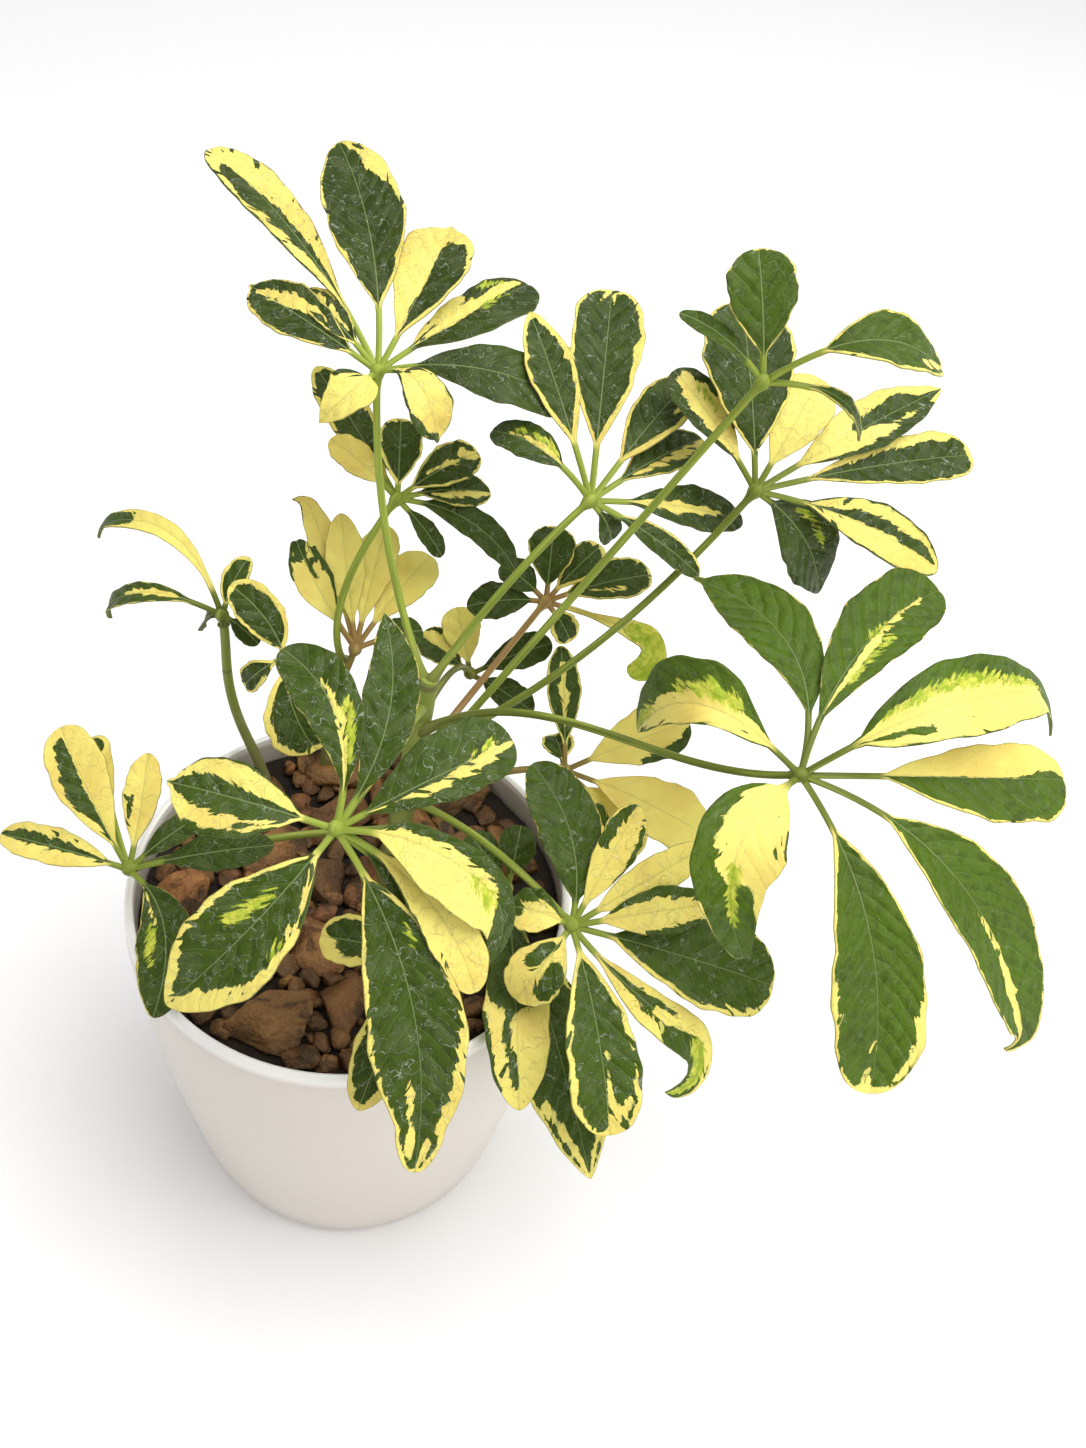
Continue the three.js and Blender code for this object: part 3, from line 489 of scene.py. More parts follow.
            leaflet((43, 15, 10), 8, 19, 4, shape="round", marks=(
                "g", (0.9, 0.9, 1.4), [("c", 0.3, 0.15, 0.5, 0.62, 0.15, 0.12)])),
            leaflet((43, -3, -9), 6, 13, 2, hook=25, curl=190, aside=78, shape="paddle", marks=(
                "c", (0, 0, 0), [("l", 0, 0.56, 0, 1, 0.9, 1.6)])),
            leaflet((13, -8, -14), 5, 13, 3, shape="strap", marks=EDGED),
            leaflet((20, 21, 17), 6, 15, 3, shape="round", marks=EDGED),
            leaflet((-21, 8, 10), 6, 14, 3, shape="strap"),
        ],
    },
    "leaf_right_back": {
        "from": ("stem_main", 196), "bend": ((0, 0, 13), (0, 0, 13)),
        "hub": (80, 59, 199), "face": (0.15, -0.4, 0.9), "look": (0.75, 0.3, 0.4),
        "leaflets": [
            leaflet((64, -14, -14), 12, 27, 6, shape="round", marks=CREAM),
            leaflet((50, 25, 14), 10, 25, 4, shape="round", marks=(
                "c", (0, 0, 0), [("g", 1, 0.5, 0.8, 0.95, 0.25, 0.36)])),
            leaflet((38, -16, -28), 10, 24, 4, shape="oval", marks=(
                "c", (0, 0, 0), [("g", 0.2, 0.3, 0.45, 0.5, 0.2, 0.14)])),
            leaflet((-9, 44, 30), 10, 15, 3, shape="oval", marks=(
                "g", (0.8, 0.8, 0.8), [("c", 0, 0.2, 0, 0.8, 0.16, 0.2)])),
            leaflet((-7, 16, 4), 4, 14, 3, shape="strap", marks=EDGED),
        ],
    },
    "leaf_inner_back": {
        "from": ("stem_main", 236), "bend": ((0, 19, 0), (0, 19, 0)),
        "hub": (33, 103, 204), "face": (0, -0.4, 0.92), "look": (0.6, 0.2, 0.5),
        "leaflets": [
            leaflet((-24, 8, 12), 5, 16, 3, shape="round", marks=(
                "g", (0.6, 0.6, 0.6), [("c", 0.35, 0.3, 0.3, 1, 0.26, 0.4)])),
            leaflet((-10, 18, 22), 5, 17, 3, shape="round", marks=CREAM),
            leaflet((34, 8, 18), 6, 16, 3, shape="round"),
            leaflet((30, -12, -6), 6, 14, 3, shape="strap"),
        ],
    },
    "leaf_inner_front": {
        "from": ("stem_main", 193), "bend": ((0, 0, 5), (0, 0, 5)),
        "hub": (37, -46, 204), "face": (0, -0.45, 0.89), "look": (0.3, 0.2, 0.5),
        "leaflets": [
            leaflet((-40, 1, 2), 8, 19, 4, shape="round", marks=(
                "c", (0, 0, 0), [
                    ("g", 0.3, 0.25, 0.35, 0.82, 0.5, 0.42),
                    ("g", -0.4, 0.3, -0.3, 0.66, 0.24, 0.3),
                ])),
            leaflet((-15, -56, -18), 8, 20, 10, shape="oval", marks=(
                "g", (2, 1.6, 2.4), [("c", -0.9, 0.6, -0.8, 0.95, 0.2, 0.3)])),
            leaflet((-18, 16, 10), 5, 14, 3, shape="strap"),
        ],
    },
    "leaf_inner_right": {
        "from": ("stem_main", 184), "bend": ((0, 0, 5), (0, 0, 5)),
        "hub": (63, -3, 194), "face": (0.1, -0.45, 0.89), "look": (0.3, 0.3, 0.7),
        "leaflets": [
            leaflet((16, -84, -20), 12, 25, 8, shape="oval", marks=(
                "c", (0, 0, 0), [
                    ("g", 0, 0, 0, 0.38, 1.2, 1),
                    ("g", 0.1, 0.3, 0.28, 0.6, 0.1, 0.12),
                    ("g", 0.28, 0.6, 0.15, 0.88, 0.1, 0.2),
                    ("g", 1, 0.55, 0.95, 0.9, 0.1, 0.1),
                ])),
            leaflet((46, -98, -38), 22, 33, 12, shape="pointed", marks=(
                "g", (1, 1.2, 2.4), [
                    ("c", 0.7, 0.7, 0.35, 0.97, 0.12, 0.2),
                    ("c", -0.75, 0.82, -0.4, 0.97, 0.1, 0.14),
                ])),
            leaflet((-18, -20, -16), 6, 15, 3, shape="strap"),
            leaflet((-18, 14, 14), 6, 14, 3, shape="strap"),
            leaflet((2, 20, 16), 6, 15, 3, shape="strap"),
        ],
    },
}

# Mulch stones at the front: middle, half sizes, turn.
FRONT_STONES = [
    (-20, -62, 170, 24, 17, 9.5, 0.3), (8, -50, 169, 16, 14, 9, 1.1), (-50, -42, 169, 21, 16, 8.5, 0.7),
    (-66, -14, 168, 17, 13, 8, 1.7), (-36, -20, 169, 17, 15, 8, 2.4), (-8, -26, 168, 17, 14, 8, 0.1),
    (34, -62, 168, 17, 14, 8, 2.1),
]

# Rings of stones further in: radius, count and first turn, and the room that they leave round a front
# stone. A half length or half width is its least, then what a draw adds.
STONE_RINGS = [(70, 9, 0.4), (44, 7, 0.9), (18, 3, 0.2)]
STONE_ROOM = 20
STONE_LENGTH = (15, 4)
STONE_WIDTH = (12, 3)
STONE_HEIGHT = 8
STONE_CUTS = 12
STONE_ROUGHNESS = 0.07

# The draws for these rings: each is the last one times the factor, plus the step, within the range.
DRAW_SEED = 7
DRAW_FACTOR = 1664525
DRAW_STEP = 1013904223
DRAW_RANGE = 2**32

# Smaller stones and chips between them: how many stones, how far out, their half lengths, a chip's
# size as a share of the largest, and the half sizes of both as shares of the half length.
GAP_STONES = 140
GAP_REACH = 78
GAP_SIZES = (5, 9)
GAP_SEED = 5
CHIP_SIZES = (0.35, 1)
CHIP_CUTS = 7
CHIP_ROUGHNESS = 0.05
FLATTER = (1, 0.8, 0.6)

# Cuts that make a lump angular: how far from its middle, and how much of what lies beyond goes. Stones
# over a half length of LARGE_STONE get a finer mesh.
CUT_DEPTHS = (0.46, 0.78)
CUT_SHARE = 0.96
LARGE_STONE = 7.5
MULCH_SEED = 11

# The bed under the stones: rings and steps of its mesh, the share of a ring that its inmost face takes,
# the height and spread of its bumps, and the tone that marks it as soil.
BED_RINGS = 40
BED_STEPS = 120
BED_MIDDLE = 0.02
BED_BUMPS = (1.8, 0.12)
BED_TONE = -1.0

# Light panels: name, place and size in metres, and power in watts. All point at LIGHT_AIM.
LIGHT_PANELS = [("key_panel", (0.55, 0.1, 1.95), 1.5, 33), ("side_panel", (1.6, -0.8, 0.9), 1.4, 8)]
LIGHT_AIM = (0, 0, 0.2)

# Camera: place in metres, turns in degrees, lens and sensor in millimetres.
CAMERA_PLACE = (0.068, -0.336, 0.649)
CAMERA_PITCH = 47
CAMERA_ROLL = 8
CAMERA_LENS = 35
CAMERA_SENSOR = 36


class PotSizes(bpy.types.PropertyGroup):
    """Sizes and colour of the pot"""
    steps: bpy.props.IntProperty(
        name="Steps round", description="Faces round the pot", default=128, min=32, max=256)
    glaze: bpy.props.FloatVectorProperty(
        name="Glaze", description="Colour of the glaze", default=(0.67, 0.602, 0.53),
        size=3, subtype="COLOR", min=0, max=1)


class MulchSizes(bpy.types.PropertyGroup):
    """Sizes and colours of the mulch"""
    chips: bpy.props.IntProperty(
        name="Chips", description="Small chips between the stones", default=110, min=0, max=600)
    chip_size: bpy.props.FloatProperty(
        name="Chip size", description="Largest half length of a chip", default=0.0042, unit="LENGTH")
    brown: bpy.props.FloatVectorProperty(
        name="Brown", description="Colour of most stones", default=(0.5, 0.24, 0.06),
        size=3, subtype="COLOR", min=0, max=1)
    russet: bpy.props.FloatVectorProperty(
        name="Russet", description="Colour of the redder stones", default=(0.42, 0.14, 0.045),
        size=3, subtype="COLOR", min=0, max=1)
    soil: bpy.props.FloatVectorProperty(
        name="Soil", description="Colour of the soil", default=(0.016, 0.01, 0.006),
        size=3, subtype="COLOR", min=0, max=1)


class LeafSizes(bpy.types.PropertyGroup):
    """Sizes and colours of the leaves"""
    blade: bpy.props.FloatProperty(
        name="Blade", description="Thickness of a blade", default=0.0008, unit="LENGTH")
    fold: bpy.props.FloatProperty(
        name="Fold", description="How steeply a blade rises from its midrib", default=0.14)
    vein_gap: bpy.props.FloatProperty(
        name="Vein gap", description="Distance between side veins along the midrib",
        default=0.0075, unit="LENGTH")
    petiole: bpy.props.FloatProperty(
        name="Petiole", description="Radius of a petiole", default=0.0016, unit="LENGTH")
    stalk: bpy.props.FloatProperty(
        name="Stalk", description="Half width of a leaflet's stalk", default=0.0012, unit="LENGTH")
    green: bpy.props.FloatVectorProperty(
        name="Green", description="Colour of the green parts", default=(0.034, 0.056, 0.0065),
        size=3, subtype="COLOR", min=0, max=1)
    cream: bpy.props.FloatVectorProperty(
        name="Cream", description="Colour of the pale parts", default=(0.86, 0.74, 0.18),
        size=3, subtype="COLOR", min=0, max=1)
    lime: bpy.props.FloatVectorProperty(
        name="Lime", description="Colour of the lime parts", default=(0.3, 0.42, 0.025),
        size=3, subtype="COLOR", min=0, max=1)


class StageSizes(bpy.types.PropertyGroup):
    """Floor and light"""
    floor: bpy.props.FloatProperty(
        name="Floor", description="Half width of the floor", default=4.0, unit="LENGTH")
    sky: bpy.props.FloatProperty(
        name="Sky", description="Strength of the light from all round", default=0.58)


# Shader helpers.
def add_node(tree, kind, inputs=None, **settings):
    """Adds a node, sets its settings, and sets or links its inputs."""
    made = tree.nodes.new(kind)
    for name, value in settings.items():
        setattr(made, name, value)
    for name, value in (inputs or {}).items():
        socket = made.inputs[name]
        if isinstance(value, bpy.types.NodeSocket):
            tree.links.new(value, socket)
        else:
            socket.default_value = value
    return made


def calc(tree, operation, *values):
    """A math node's result."""
    return add_node(tree, "ShaderNodeMath", dict(enumerate(values)), operation=operation).outputs[0]


def times(tree, a, b):
    """The product of two values."""
    return calc(tree, "MULTIPLY", a, b)


def scaled_sum(tree, value, factor, added):
    """A value times a factor, plus another value."""
    return calc(tree, "MULTIPLY_ADD", value, factor, added)


def split(tree, vector):
    """A vector's X, Y and Z."""
    return add_node(tree, "ShaderNodeSeparateXYZ", {"Vector": vector}).outputs


def own_place(tree):
    """A point's place on its object."""
    return add_node(tree, "ShaderNodeTexCoord").outputs["Object"]


def measure(tree, name, output="Vector"):
    """A measure that the mesh gives each of its points."""
    return add_node(tree, "ShaderNodeAttribute", attribute_name=name).outputs[output]


def vector_calc(tree, operation, *values):
    """A vector math node's result."""
    return add_node(tree, "ShaderNodeVectorMath", dict(enumerate(values)), operation=operation).outputs[0]


def stretched(tree, vector, scale):
    """A vector with each axis scaled on its own."""
    return add_node(tree, "ShaderNodeMapping", {"Vector": vector, "Scale": scale}).outputs[0]


def cells(tree, vector, scale):
    """Distance to the nearest of scattered points, and that point's three random values."""
    made = add_node(tree, "ShaderNodeTexVoronoi", {"Vector": vector, "Scale": scale})
    values = add_node(tree, "ShaderNodeSeparateColor", {"Color": made.outputs["Color"]})
    return made.outputs["Distance"], values.outputs


def ramp_between(tree, value, low, high):
    """0 below low, 1 above high, smooth between."""
    inputs = {"Value": value, "From Min": low, "From Max": high}
    return add_node(tree, "ShaderNodeMapRange", inputs, interpolation_type="SMOOTHSTEP").outputs[0]


def opaque(colour):
    """A colour with full alpha, or a linked one as it is."""
    return colour if isinstance(colour, bpy.types.NodeSocket) else (*colour, 1)


def blend_colour(tree, share, first, second, blend="MIX"):
    """A mix of two colours."""
    inputs = {0: share, 6: opaque(first), 7: opaque(second)}
    return add_node(tree, "ShaderNodeMix", inputs, data_type="RGBA", blend_type=blend).outputs[2]


def tint(tree, colour, mask, strength, second):
    """A colour with a second one laid over it where a mask is, as strongly as given."""
    return blend_colour(tree, times(tree, mask, strength), colour, second)


def combine(tree, x, y, z):
    """A vector from three values."""
    return add_node(tree, "ShaderNodeCombineXYZ", {"X": x, "Y": y, "Z": z}).outputs[0]


def grain(tree, vector, scale, detail=3, roughness=0.55, distortion=0):
    """Soft noise in 0 to 1."""
    inputs = {
        "Vector": vector, "Scale": scale, "Detail": detail,
        "Roughness": roughness, "Distortion": distortion,
    }
    return add_node(tree, "ShaderNodeTexNoise", inputs).outputs[0]


def new_group(name, inputs, outputs):
    """A shader node group with its sockets, its input node and its output node."""
    tree = bpy.data.node_groups.new(name, "ShaderNodeTree")
    for socket, kind, default in inputs:
        made = tree.interface.new_socket(socket, in_out="INPUT", socket_type=kind)
        if default is not None:
            made.default_value = default
    for socket, kind in outputs:
        tree.interface.new_socket(socket, in_out="OUTPUT", socket_type=kind)
    return tree, tree.nodes.new("NodeGroupInput"), tree.nodes.new("NodeGroupOutput")


def put_out(tree, leave, results):
    """Links results to a group's outputs of the same names."""
    for name, value in results.items():
        tree.links.new(value, leave.inputs[name])


def use_group(tree, group, inputs):
    """The outputs of a group placed in a material with its own values."""
    return add_node(tree, "ShaderNodeGroup", inputs, node_tree=group).outputs


def mottled(tree, groups, coarse, fine):
    """A point's place on its object, and the mottling there."""
    place = own_place(tree)
    return place, use_group(tree, groups["mottle"], {"Vector": place, "Coarse": coarse, "Fine": fine})


def new_material(name):
    """A material, its node tree and its shader."""
    made = bpy.data.materials.new(name)
    made.use_nodes = True
    return made, made.node_tree, made.node_tree.nodes["Principled BSDF"]


def surface(tree, shader, colour, height, strength, distance):
    """Links a colour and a bump of some strength and depth in metres to a shader."""
    bump = add_node(tree, "ShaderNodeBump", {"Height": height, "Strength": strength, "Distance": distance})
    tree.links.new(colour, shader.inputs["Base Color"])
    tree.links.new(bump.outputs[0], shader.inputs["Normal"])


def vein_group():
    """Midrib, side veins and their height, from a blade's own measures."""
    tree, enter, leave = new_group(
        "leaf_veins",
        [("Blade", "NodeSocketVector", None), ("Gap", "NodeSocketFloat", 7.5)],
        [(name, "NodeSocketFloat") for name in ("Midrib", "Side", "Height", "Slant", "Across")],
    )
    parts = split(tree, enter.outputs["Blade"])
    across = calc(tree, "ABSOLUTE", parts["X"])
    wobble = times(tree, grain(tree, enter.outputs["Blade"], 0.14, 1), 3.2)
    rise = scaled_sum(tree, across, -0.95, parts["Y"])
    bend = scaled_sum(tree, times(tree, across, across), -0.02, rise)
    other_side = times(tree, calc(tree, "GREATER_THAN", parts["X"], 0.0), VEIN_STAGGER)
    slant = calc(tree, "ADD", calc(tree, "ADD", bend, other_side), wobble)
    wave = calc(tree, "FRACT", calc(tree, "DIVIDE", slant, enter.outputs["Gap"]))
    centred = calc(tree, "ABSOLUTE", calc(tree, "SUBTRACT", wave, 0.5))
    side = ramp_between(tree, times(tree, centred, enter.outputs["Gap"]), 0.34, 0.05)
    wide = calc(tree, "MAXIMUM", scaled_sum(tree, parts["Y"], -0.003, 0.42), 0.18)
    midrib = ramp_between(tree, calc(tree, "DIVIDE", across, wide), 1.25, 0.55)
    pillow = calc(tree, "SINE", times(tree, centred, math.pi))
    height = scaled_sum(tree, pillow, 0.75, times(tree, midrib, -0.7))
    put_out(tree, leave, {
        "Midrib": midrib, "Side": side, "Height": height, "Slant": slant, "Across": across})
    return tree


def marks_group():
    """Jagged edges of the green and lime parts, which run along the side veins."""
    tree, enter, leave = new_group(
        "leaf_marks",
        [
            ("Marks", "NodeSocketVector", None), ("Blade", "NodeSocketVector", None),
            ("Slant", "NodeSocketFloat", 0.0), ("Across", "NodeSocketFloat", 0.0),
        ],
        [(name, "NodeSocketFloat") for name in ("Green", "Fringe", "Lime", "Streak")],
    )
    marks = split(tree, enter.outputs["Marks"])
    gap = split(tree, enter.outputs["Blade"])["Z"]
    seed = times(tree, marks["Z"], 13.7)
    slant, across = enter.outputs["Slant"], enter.outputs["Across"]

    def on_veins(along, aside):
        return combine(tree, times(tree, slant, along), times(tree, across, aside), seed)

    broad = calc(tree, "SUBTRACT", grain(tree, on_veins(0.19, 0.13), 1, 4, 0.5), 0.5)
    drift = grain(tree, on_veins(0.16, 0.05), 1, 1)
    tooth_size = grain(tree, on_veins(0.21, 0.1), 1, 1)
    phase = scaled_sum(tree, drift, 2.4, times(tree, slant, 0.17))
    tooth = calc(tree, "SUBTRACT", calc(tree, "FRACT", phase), 0.5)
    tooth = times(tree, tooth, times(tree, tooth_size, 0.9))
    _, cell = cells(tree, on_veins(0.42, 0.34), 1.0)
    steps = calc(tree, "SUBTRACT", cell[0], 0.5)
    fine = calc(tree, "SUBTRACT", grain(tree, enter.outputs["Blade"], 1.5, 3), 0.5)
    rough = scaled_sum(tree, broad, 7.6, times(tree, steps, 0.9))
    rough = calc(tree, "ADD", rough, tooth)
    rough = scaled_sum(tree, fine, 0.7, rough)
    calm = scaled_sum(tree, ramp_between(tree, gap, 0.0, 4.0), 0.75, 0.25)
    near_rib = scaled_sum(tree, ramp_between(tree, across, 0.2, 2.5), 0.65, 0.35)
    calm = times(tree, calm, near_rib)
    edge = scaled_sum(tree, rough, calm, marks["X"])
    speck = times(tree, calc(tree, "GREATER_THAN", cell[1], 0.95), 2.6)
    edge = calc(tree, "ADD", edge, speck)
    green = ramp_between(tree, edge, -0.1, 0.1)
    outer = calc(tree, "ADD", edge, scaled_sum(tree, cell[2], 2.6, -1.7))
    fringe = ramp_between(tree, outer, -0.15, 0.15)
    streak = grain(tree, on_veins(0.5, 0.12), 1, 3, 0.55)
    spots = grain(tree, on_veins(0.9, 0.6), 1, 2)
    lime_edge = scaled_sum(tree, calc(tree, "SUBTRACT", streak, 0.5), 9.0, marks["Y"])
    lime_edge = scaled_sum(tree, calc(tree, "SUBTRACT", spots, 0.5), 4.0, lime_edge)
    lime = ramp_between(tree, lime_edge, -0.5, 0.7)
    put_out(tree, leave, {"Green": green, "Fringe": fringe, "Lime": lime, "Streak": streak})
    return tree


def water_group():
    """Thin pale outlines and dots that dried water leaves on a blade."""
    tree, enter, leave = new_group(
        "dried_water",
        [("Blade", "NodeSocketVector", None), ("Seed", "NodeSocketFloat", 0.0)],
        [("Mask", "NodeSocketFloat"), ("Inside", "NodeSocketFloat")],
    )
    shift = combine(tree, enter.outputs["Seed"], enter.outputs["Seed"], 0.0)
    flat = vector_calc(tree, "MULTIPLY", enter.outputs["Blade"], (1, 1, 0))
    at = vector_calc(tree, "ADD", flat, shift)
    bent = add_node(tree, "ShaderNodeTexNoise", {"Vector": at, "Scale": 0.3, "Detail": 2}).outputs[1]
    warped = vector_calc(tree, "MULTIPLY_ADD", bent, (3.6, 3.6, 0), at)
    rings, insides = [], []
    for scale, level, half_line in ((0.11, 0.54, 0.0075), (0.22, 0.58, 0.012)):
        spread = grain(tree, warped, scale, 1.5, 0.5)
        off = calc(tree, "SUBTRACT", spread, level)
        rings.append(ramp_between(tree, calc(tree, "ABSOLUTE", off), half_line, 0.3 * half_line))
        insides.append(ramp_between(tree, off, 0.0, 0.1))
    broken = ramp_between(tree, grain(tree, at, 0.4, 3), 0.34, 0.52)
    ring = times(tree, calc(tree, "MAXIMUM", rings[0], rings[1]), broken)
    distance, chance = cells(tree, at, 0.42)
    dot = ramp_between(tree, distance, scaled_sum(tree, chance[0], 0.13, 0.03), 0.02)
    put_out(tree, leave, {
        "Mask": calc(tree, "MAXIMUM", ring, times(tree, dot, 0.8)),
        "Inside": calc(tree, "MAXIMUM", insides[0], insides[1]),
    })
    return tree


def mottle_group():
    """Two sizes of soft noise for stone, soil, bark and glaze."""
    tree, enter, leave = new_group(
        "mottle",
        [
            ("Vector", "NodeSocketVector", None),
            ("Coarse", "NodeSocketFloat", 40.0), ("Fine", "NodeSocketFloat", 300.0),
        ],
        [(name, "NodeSocketFloat") for name in ("Broad", "Small", "Height")],
    )
    broad = grain(tree, enter.outputs["Vector"], enter.outputs["Coarse"], 4, 0.6, 0.3)
    small = grain(tree, enter.outputs["Vector"], enter.outputs["Fine"], 3, 0.6)
    height = scaled_sum(tree, small, 0.35, broad)
    put_out(tree, leave, {"Broad": broad, "Small": small, "Height": height})
    return tree


def leaf_green(tree, sizes, inputs):
    """Colour of the green parts: streaks along the veins, mottling, pale veins and dried water."""
    fresh = (sizes.green[0] * 2.5, sizes.green[1] * 2.8, sizes.green[2] * 1.0)
    bright = tuple(1.75 * c for c in sizes.green)
    colour = blend_colour(tree, inputs["fresh"], sizes.green, fresh)
    patch = ramp_between(tree, inputs["soft"], 0.42, 0.7)
    colour = tint(tree, colour, patch, 0.6, bright)
    dull = ramp_between(tree, inputs["streak"], 0.52, 0.75)
    colour = tint(tree, colour, dull, 0.25, (0.13, 0.17, 0.03))
    dark = ramp_between(tree, inputs["streak"], 0.5, 0.28)
    spots = ramp_between(tree, inputs["small"], 0.45, 0.65)
    darker = calc(tree, "MAXIMUM", times(tree, dark, 0.45), times(tree, spots, 0.6))
    colour = blend_colour(tree, darker, colour, (0.5, 0.5, 0.5), "MULTIPLY")
    colour = tint(tree, colour, inputs["side"], 0.36, (0.15, 0.21, 0.05))
    colour = tint(tree, colour, inputs["midrib"], 0.7, (0.24, 0.32, 0.11))
    film = times(tree, inputs["wet"], times(tree, inputs["inside"], 0.09))
    colour = blend_colour(tree, film, colour, (0.28, 0.32, 0.18))
    rings = times(tree, inputs["wet"], times(tree, inputs["rings"], 0.55))
    return blend_colour(tree, rings, colour, (0.36, 0.41, 0.3))


def leaf_cream(tree, sizes, inputs):
    """Colour of the pale parts."""
    deep = (sizes.cream[0] * 0.9, sizes.cream[1] * 0.8, sizes.cream[2] * 0.75)
    colour = blend_colour(tree, ramp_between(tree, inputs["soft"], 0.4, 0.75), sizes.cream, deep)
    faint = ramp_between(tree, inputs["streak"], 0.5, 0.75)
    colour = tint(tree, colour, faint, 0.25, (0.72, 0.6, 0.16))
    colour = tint(tree, colour, inputs["side"], 0.14, (0.68, 0.62, 0.16))
    colour = tint(tree, colour, inputs["midrib"], 0.45, (0.66, 0.62, 0.18))
    rings = times(tree, inputs["wet"], times(tree, inputs["rings"], 0.25))
    return blend_colour(tree, rings, colour, (0.85, 0.83, 0.55))


def leaf_stalk(tree, tone, blade):
    """Colour of the stalks and the petiole: pale green, olive or russet, with fine streaks."""
    green = blend_colour(tree, ramp_between(tree, tone, 0, 0.5), (0.29, 0.365, 0.05), (0.12, 0.15, 0.022))
    colour = blend_colour(tree, ramp_between(tree, tone, 0.5, 1), green, (0.38, 0.2, 0.08))
    streak = grain(tree, stretched(tree, blade, (0.8, 0.035, 0.8)), 1, 2)
    light = tint(tree, colour, ramp_between(tree, streak, 0.45, 0.75), 0.4, (0.56, 0.62, 0.13))
    dark = times(tree, ramp_between(tree, streak, 0.5, 0.3), 0.3)
    return blend_colour(tree, dark, light, (0.1, 0.13, 0.03))


def leaf_material(sizes, groups):
    """Variegated leaf: cream, lime and green parts, veins, dried water, paler underside, and stalks."""
    made, tree, shader = new_material("variegated_leaf")
    blade = measure(tree, "blade")
    marks = measure(tree, "marks")
    kinds = split(tree, measure(tree, "kind"))
    looks = split(tree, measure(tree, "look"))
    edge = split(tree, blade)["Z"]
    seed = split(tree, marks)["Z"]
    veins = use_group(tree, groups["veins"], {"Blade": blade, "Gap": sizes.vein_gap / MM})
    parts = use_group(tree, groups["marks"], {
        "Marks": marks, "Blade": blade, "Slant": veins["Slant"], "Across": veins["Across"]})
    water = use_group(tree, groups["water"], {"Blade": blade, "Seed": times(tree, seed, 90.0)})
    small = grain(tree, blade, 0.26, 4, 0.62)
    inputs = {
        "soft": grain(tree, own_place(tree), 38, 2), "small": small, "streak": parts["Streak"],
        "side": veins["Side"], "midrib": veins["Midrib"], "rings": water["Mask"],
        "inside": water["Inside"], "fresh": looks["Y"], "wet": looks["Z"],
    }
    green = leaf_green(tree, sizes, inputs)
    cream = leaf_cream(tree, sizes, inputs)
    lime = blend_colour(tree, ramp_between(tree, small, 0.35, 0.65), sizes.lime, (0.62, 0.62, 0.08))
    half_green = blend_colour(tree, small, (0.2, 0.26, 0.08), (0.36, 0.4, 0.12))
    colour = tint(tree, cream, parts["Fringe"], 0.5, half_green)
    colour = blend_colour(tree, parts["Green"], colour, green)
    colour = blend_colour(tree, parts["Lime"], colour, lime)
    ragged = scaled_sum(tree, grain(tree, blade, 0.35, 2), 1.0, -0.15)
    rim = ramp_between(tree, edge, ragged, 0.1)
    colour = tint(tree, colour, rim, 0.6, (0.12, 0.14, 0.035))
    colour = tint(tree, colour, kinds["Y"], 0.45, (0.3, 0.36, 0.14))
    stalk = leaf_stalk(tree, looks["X"], blade)
    stalk = tint(tree, stalk, kinds["Z"], 0.75, (0.19, 0.2, 0.06))
    colour = blend_colour(tree, kinds["X"], colour, stalk)
    gloss = scaled_sum(tree, small, 0.2, 0.28)
    gloss = scaled_sum(tree, kinds["Y"], 0.2, gloss)
    ring_height = times(tree, times(tree, water["Mask"], looks["Z"]), 0.35)
    height = scaled_sum(tree, grain(tree, blade, 0.8, 4), 0.5, veins["Height"])
    relief = scaled_sum(tree, parts["Green"], 0.7, 0.3)
    height = times(tree, height, relief)
    height = scaled_sum(tree, parts["Streak"], 0.25, calc(tree, "ADD", height, ring_height))
    height = times(tree, height, calc(tree, "SUBTRACT", 1.0, kinds["X"]))
    surface(tree, shader, colour, height, 0.9, 0.0007)
    tree.links.new(gloss, shader.inputs["Roughness"])
    shader.inputs["Specular IOR Level"].default_value = 0.15
    return made


def glaze_material(sizes, groups):
    """Cream satin glaze with faint mottling, and a painted highlight that makes the rim paler."""
    made, tree, shader = new_material("cream_glaze")
    place, mottle = mottled(tree, groups, 14.0, 420.0)
    deep = tuple(c * 0.97 for c in sizes.glaze)
    colour = blend_colour(tree, ramp_between(tree, mottle["Broad"], 0.35, 0.7), sizes.glaze, deep)
    height = split(tree, place)["Z"]
    # Painted highlight: a paler band over the top of the rim.
    colour = blend_colour(tree, ramp_between(tree, height, 0.1745, 0.1785), colour, (0.97, 0.945, 0.91))
    gloss = scaled_sum(tree, mottle["Small"], 0.12, 0.3)
    surface(tree, shader, colour, mottle["Height"], 0.12, 0.0004)
    tree.links.new(gloss, shader.inputs["Roughness"])
    shader.inputs["Coat Weight"].default_value = 0.45
    shader.inputs["Coat Roughness"].default_value = 0.14
    return made


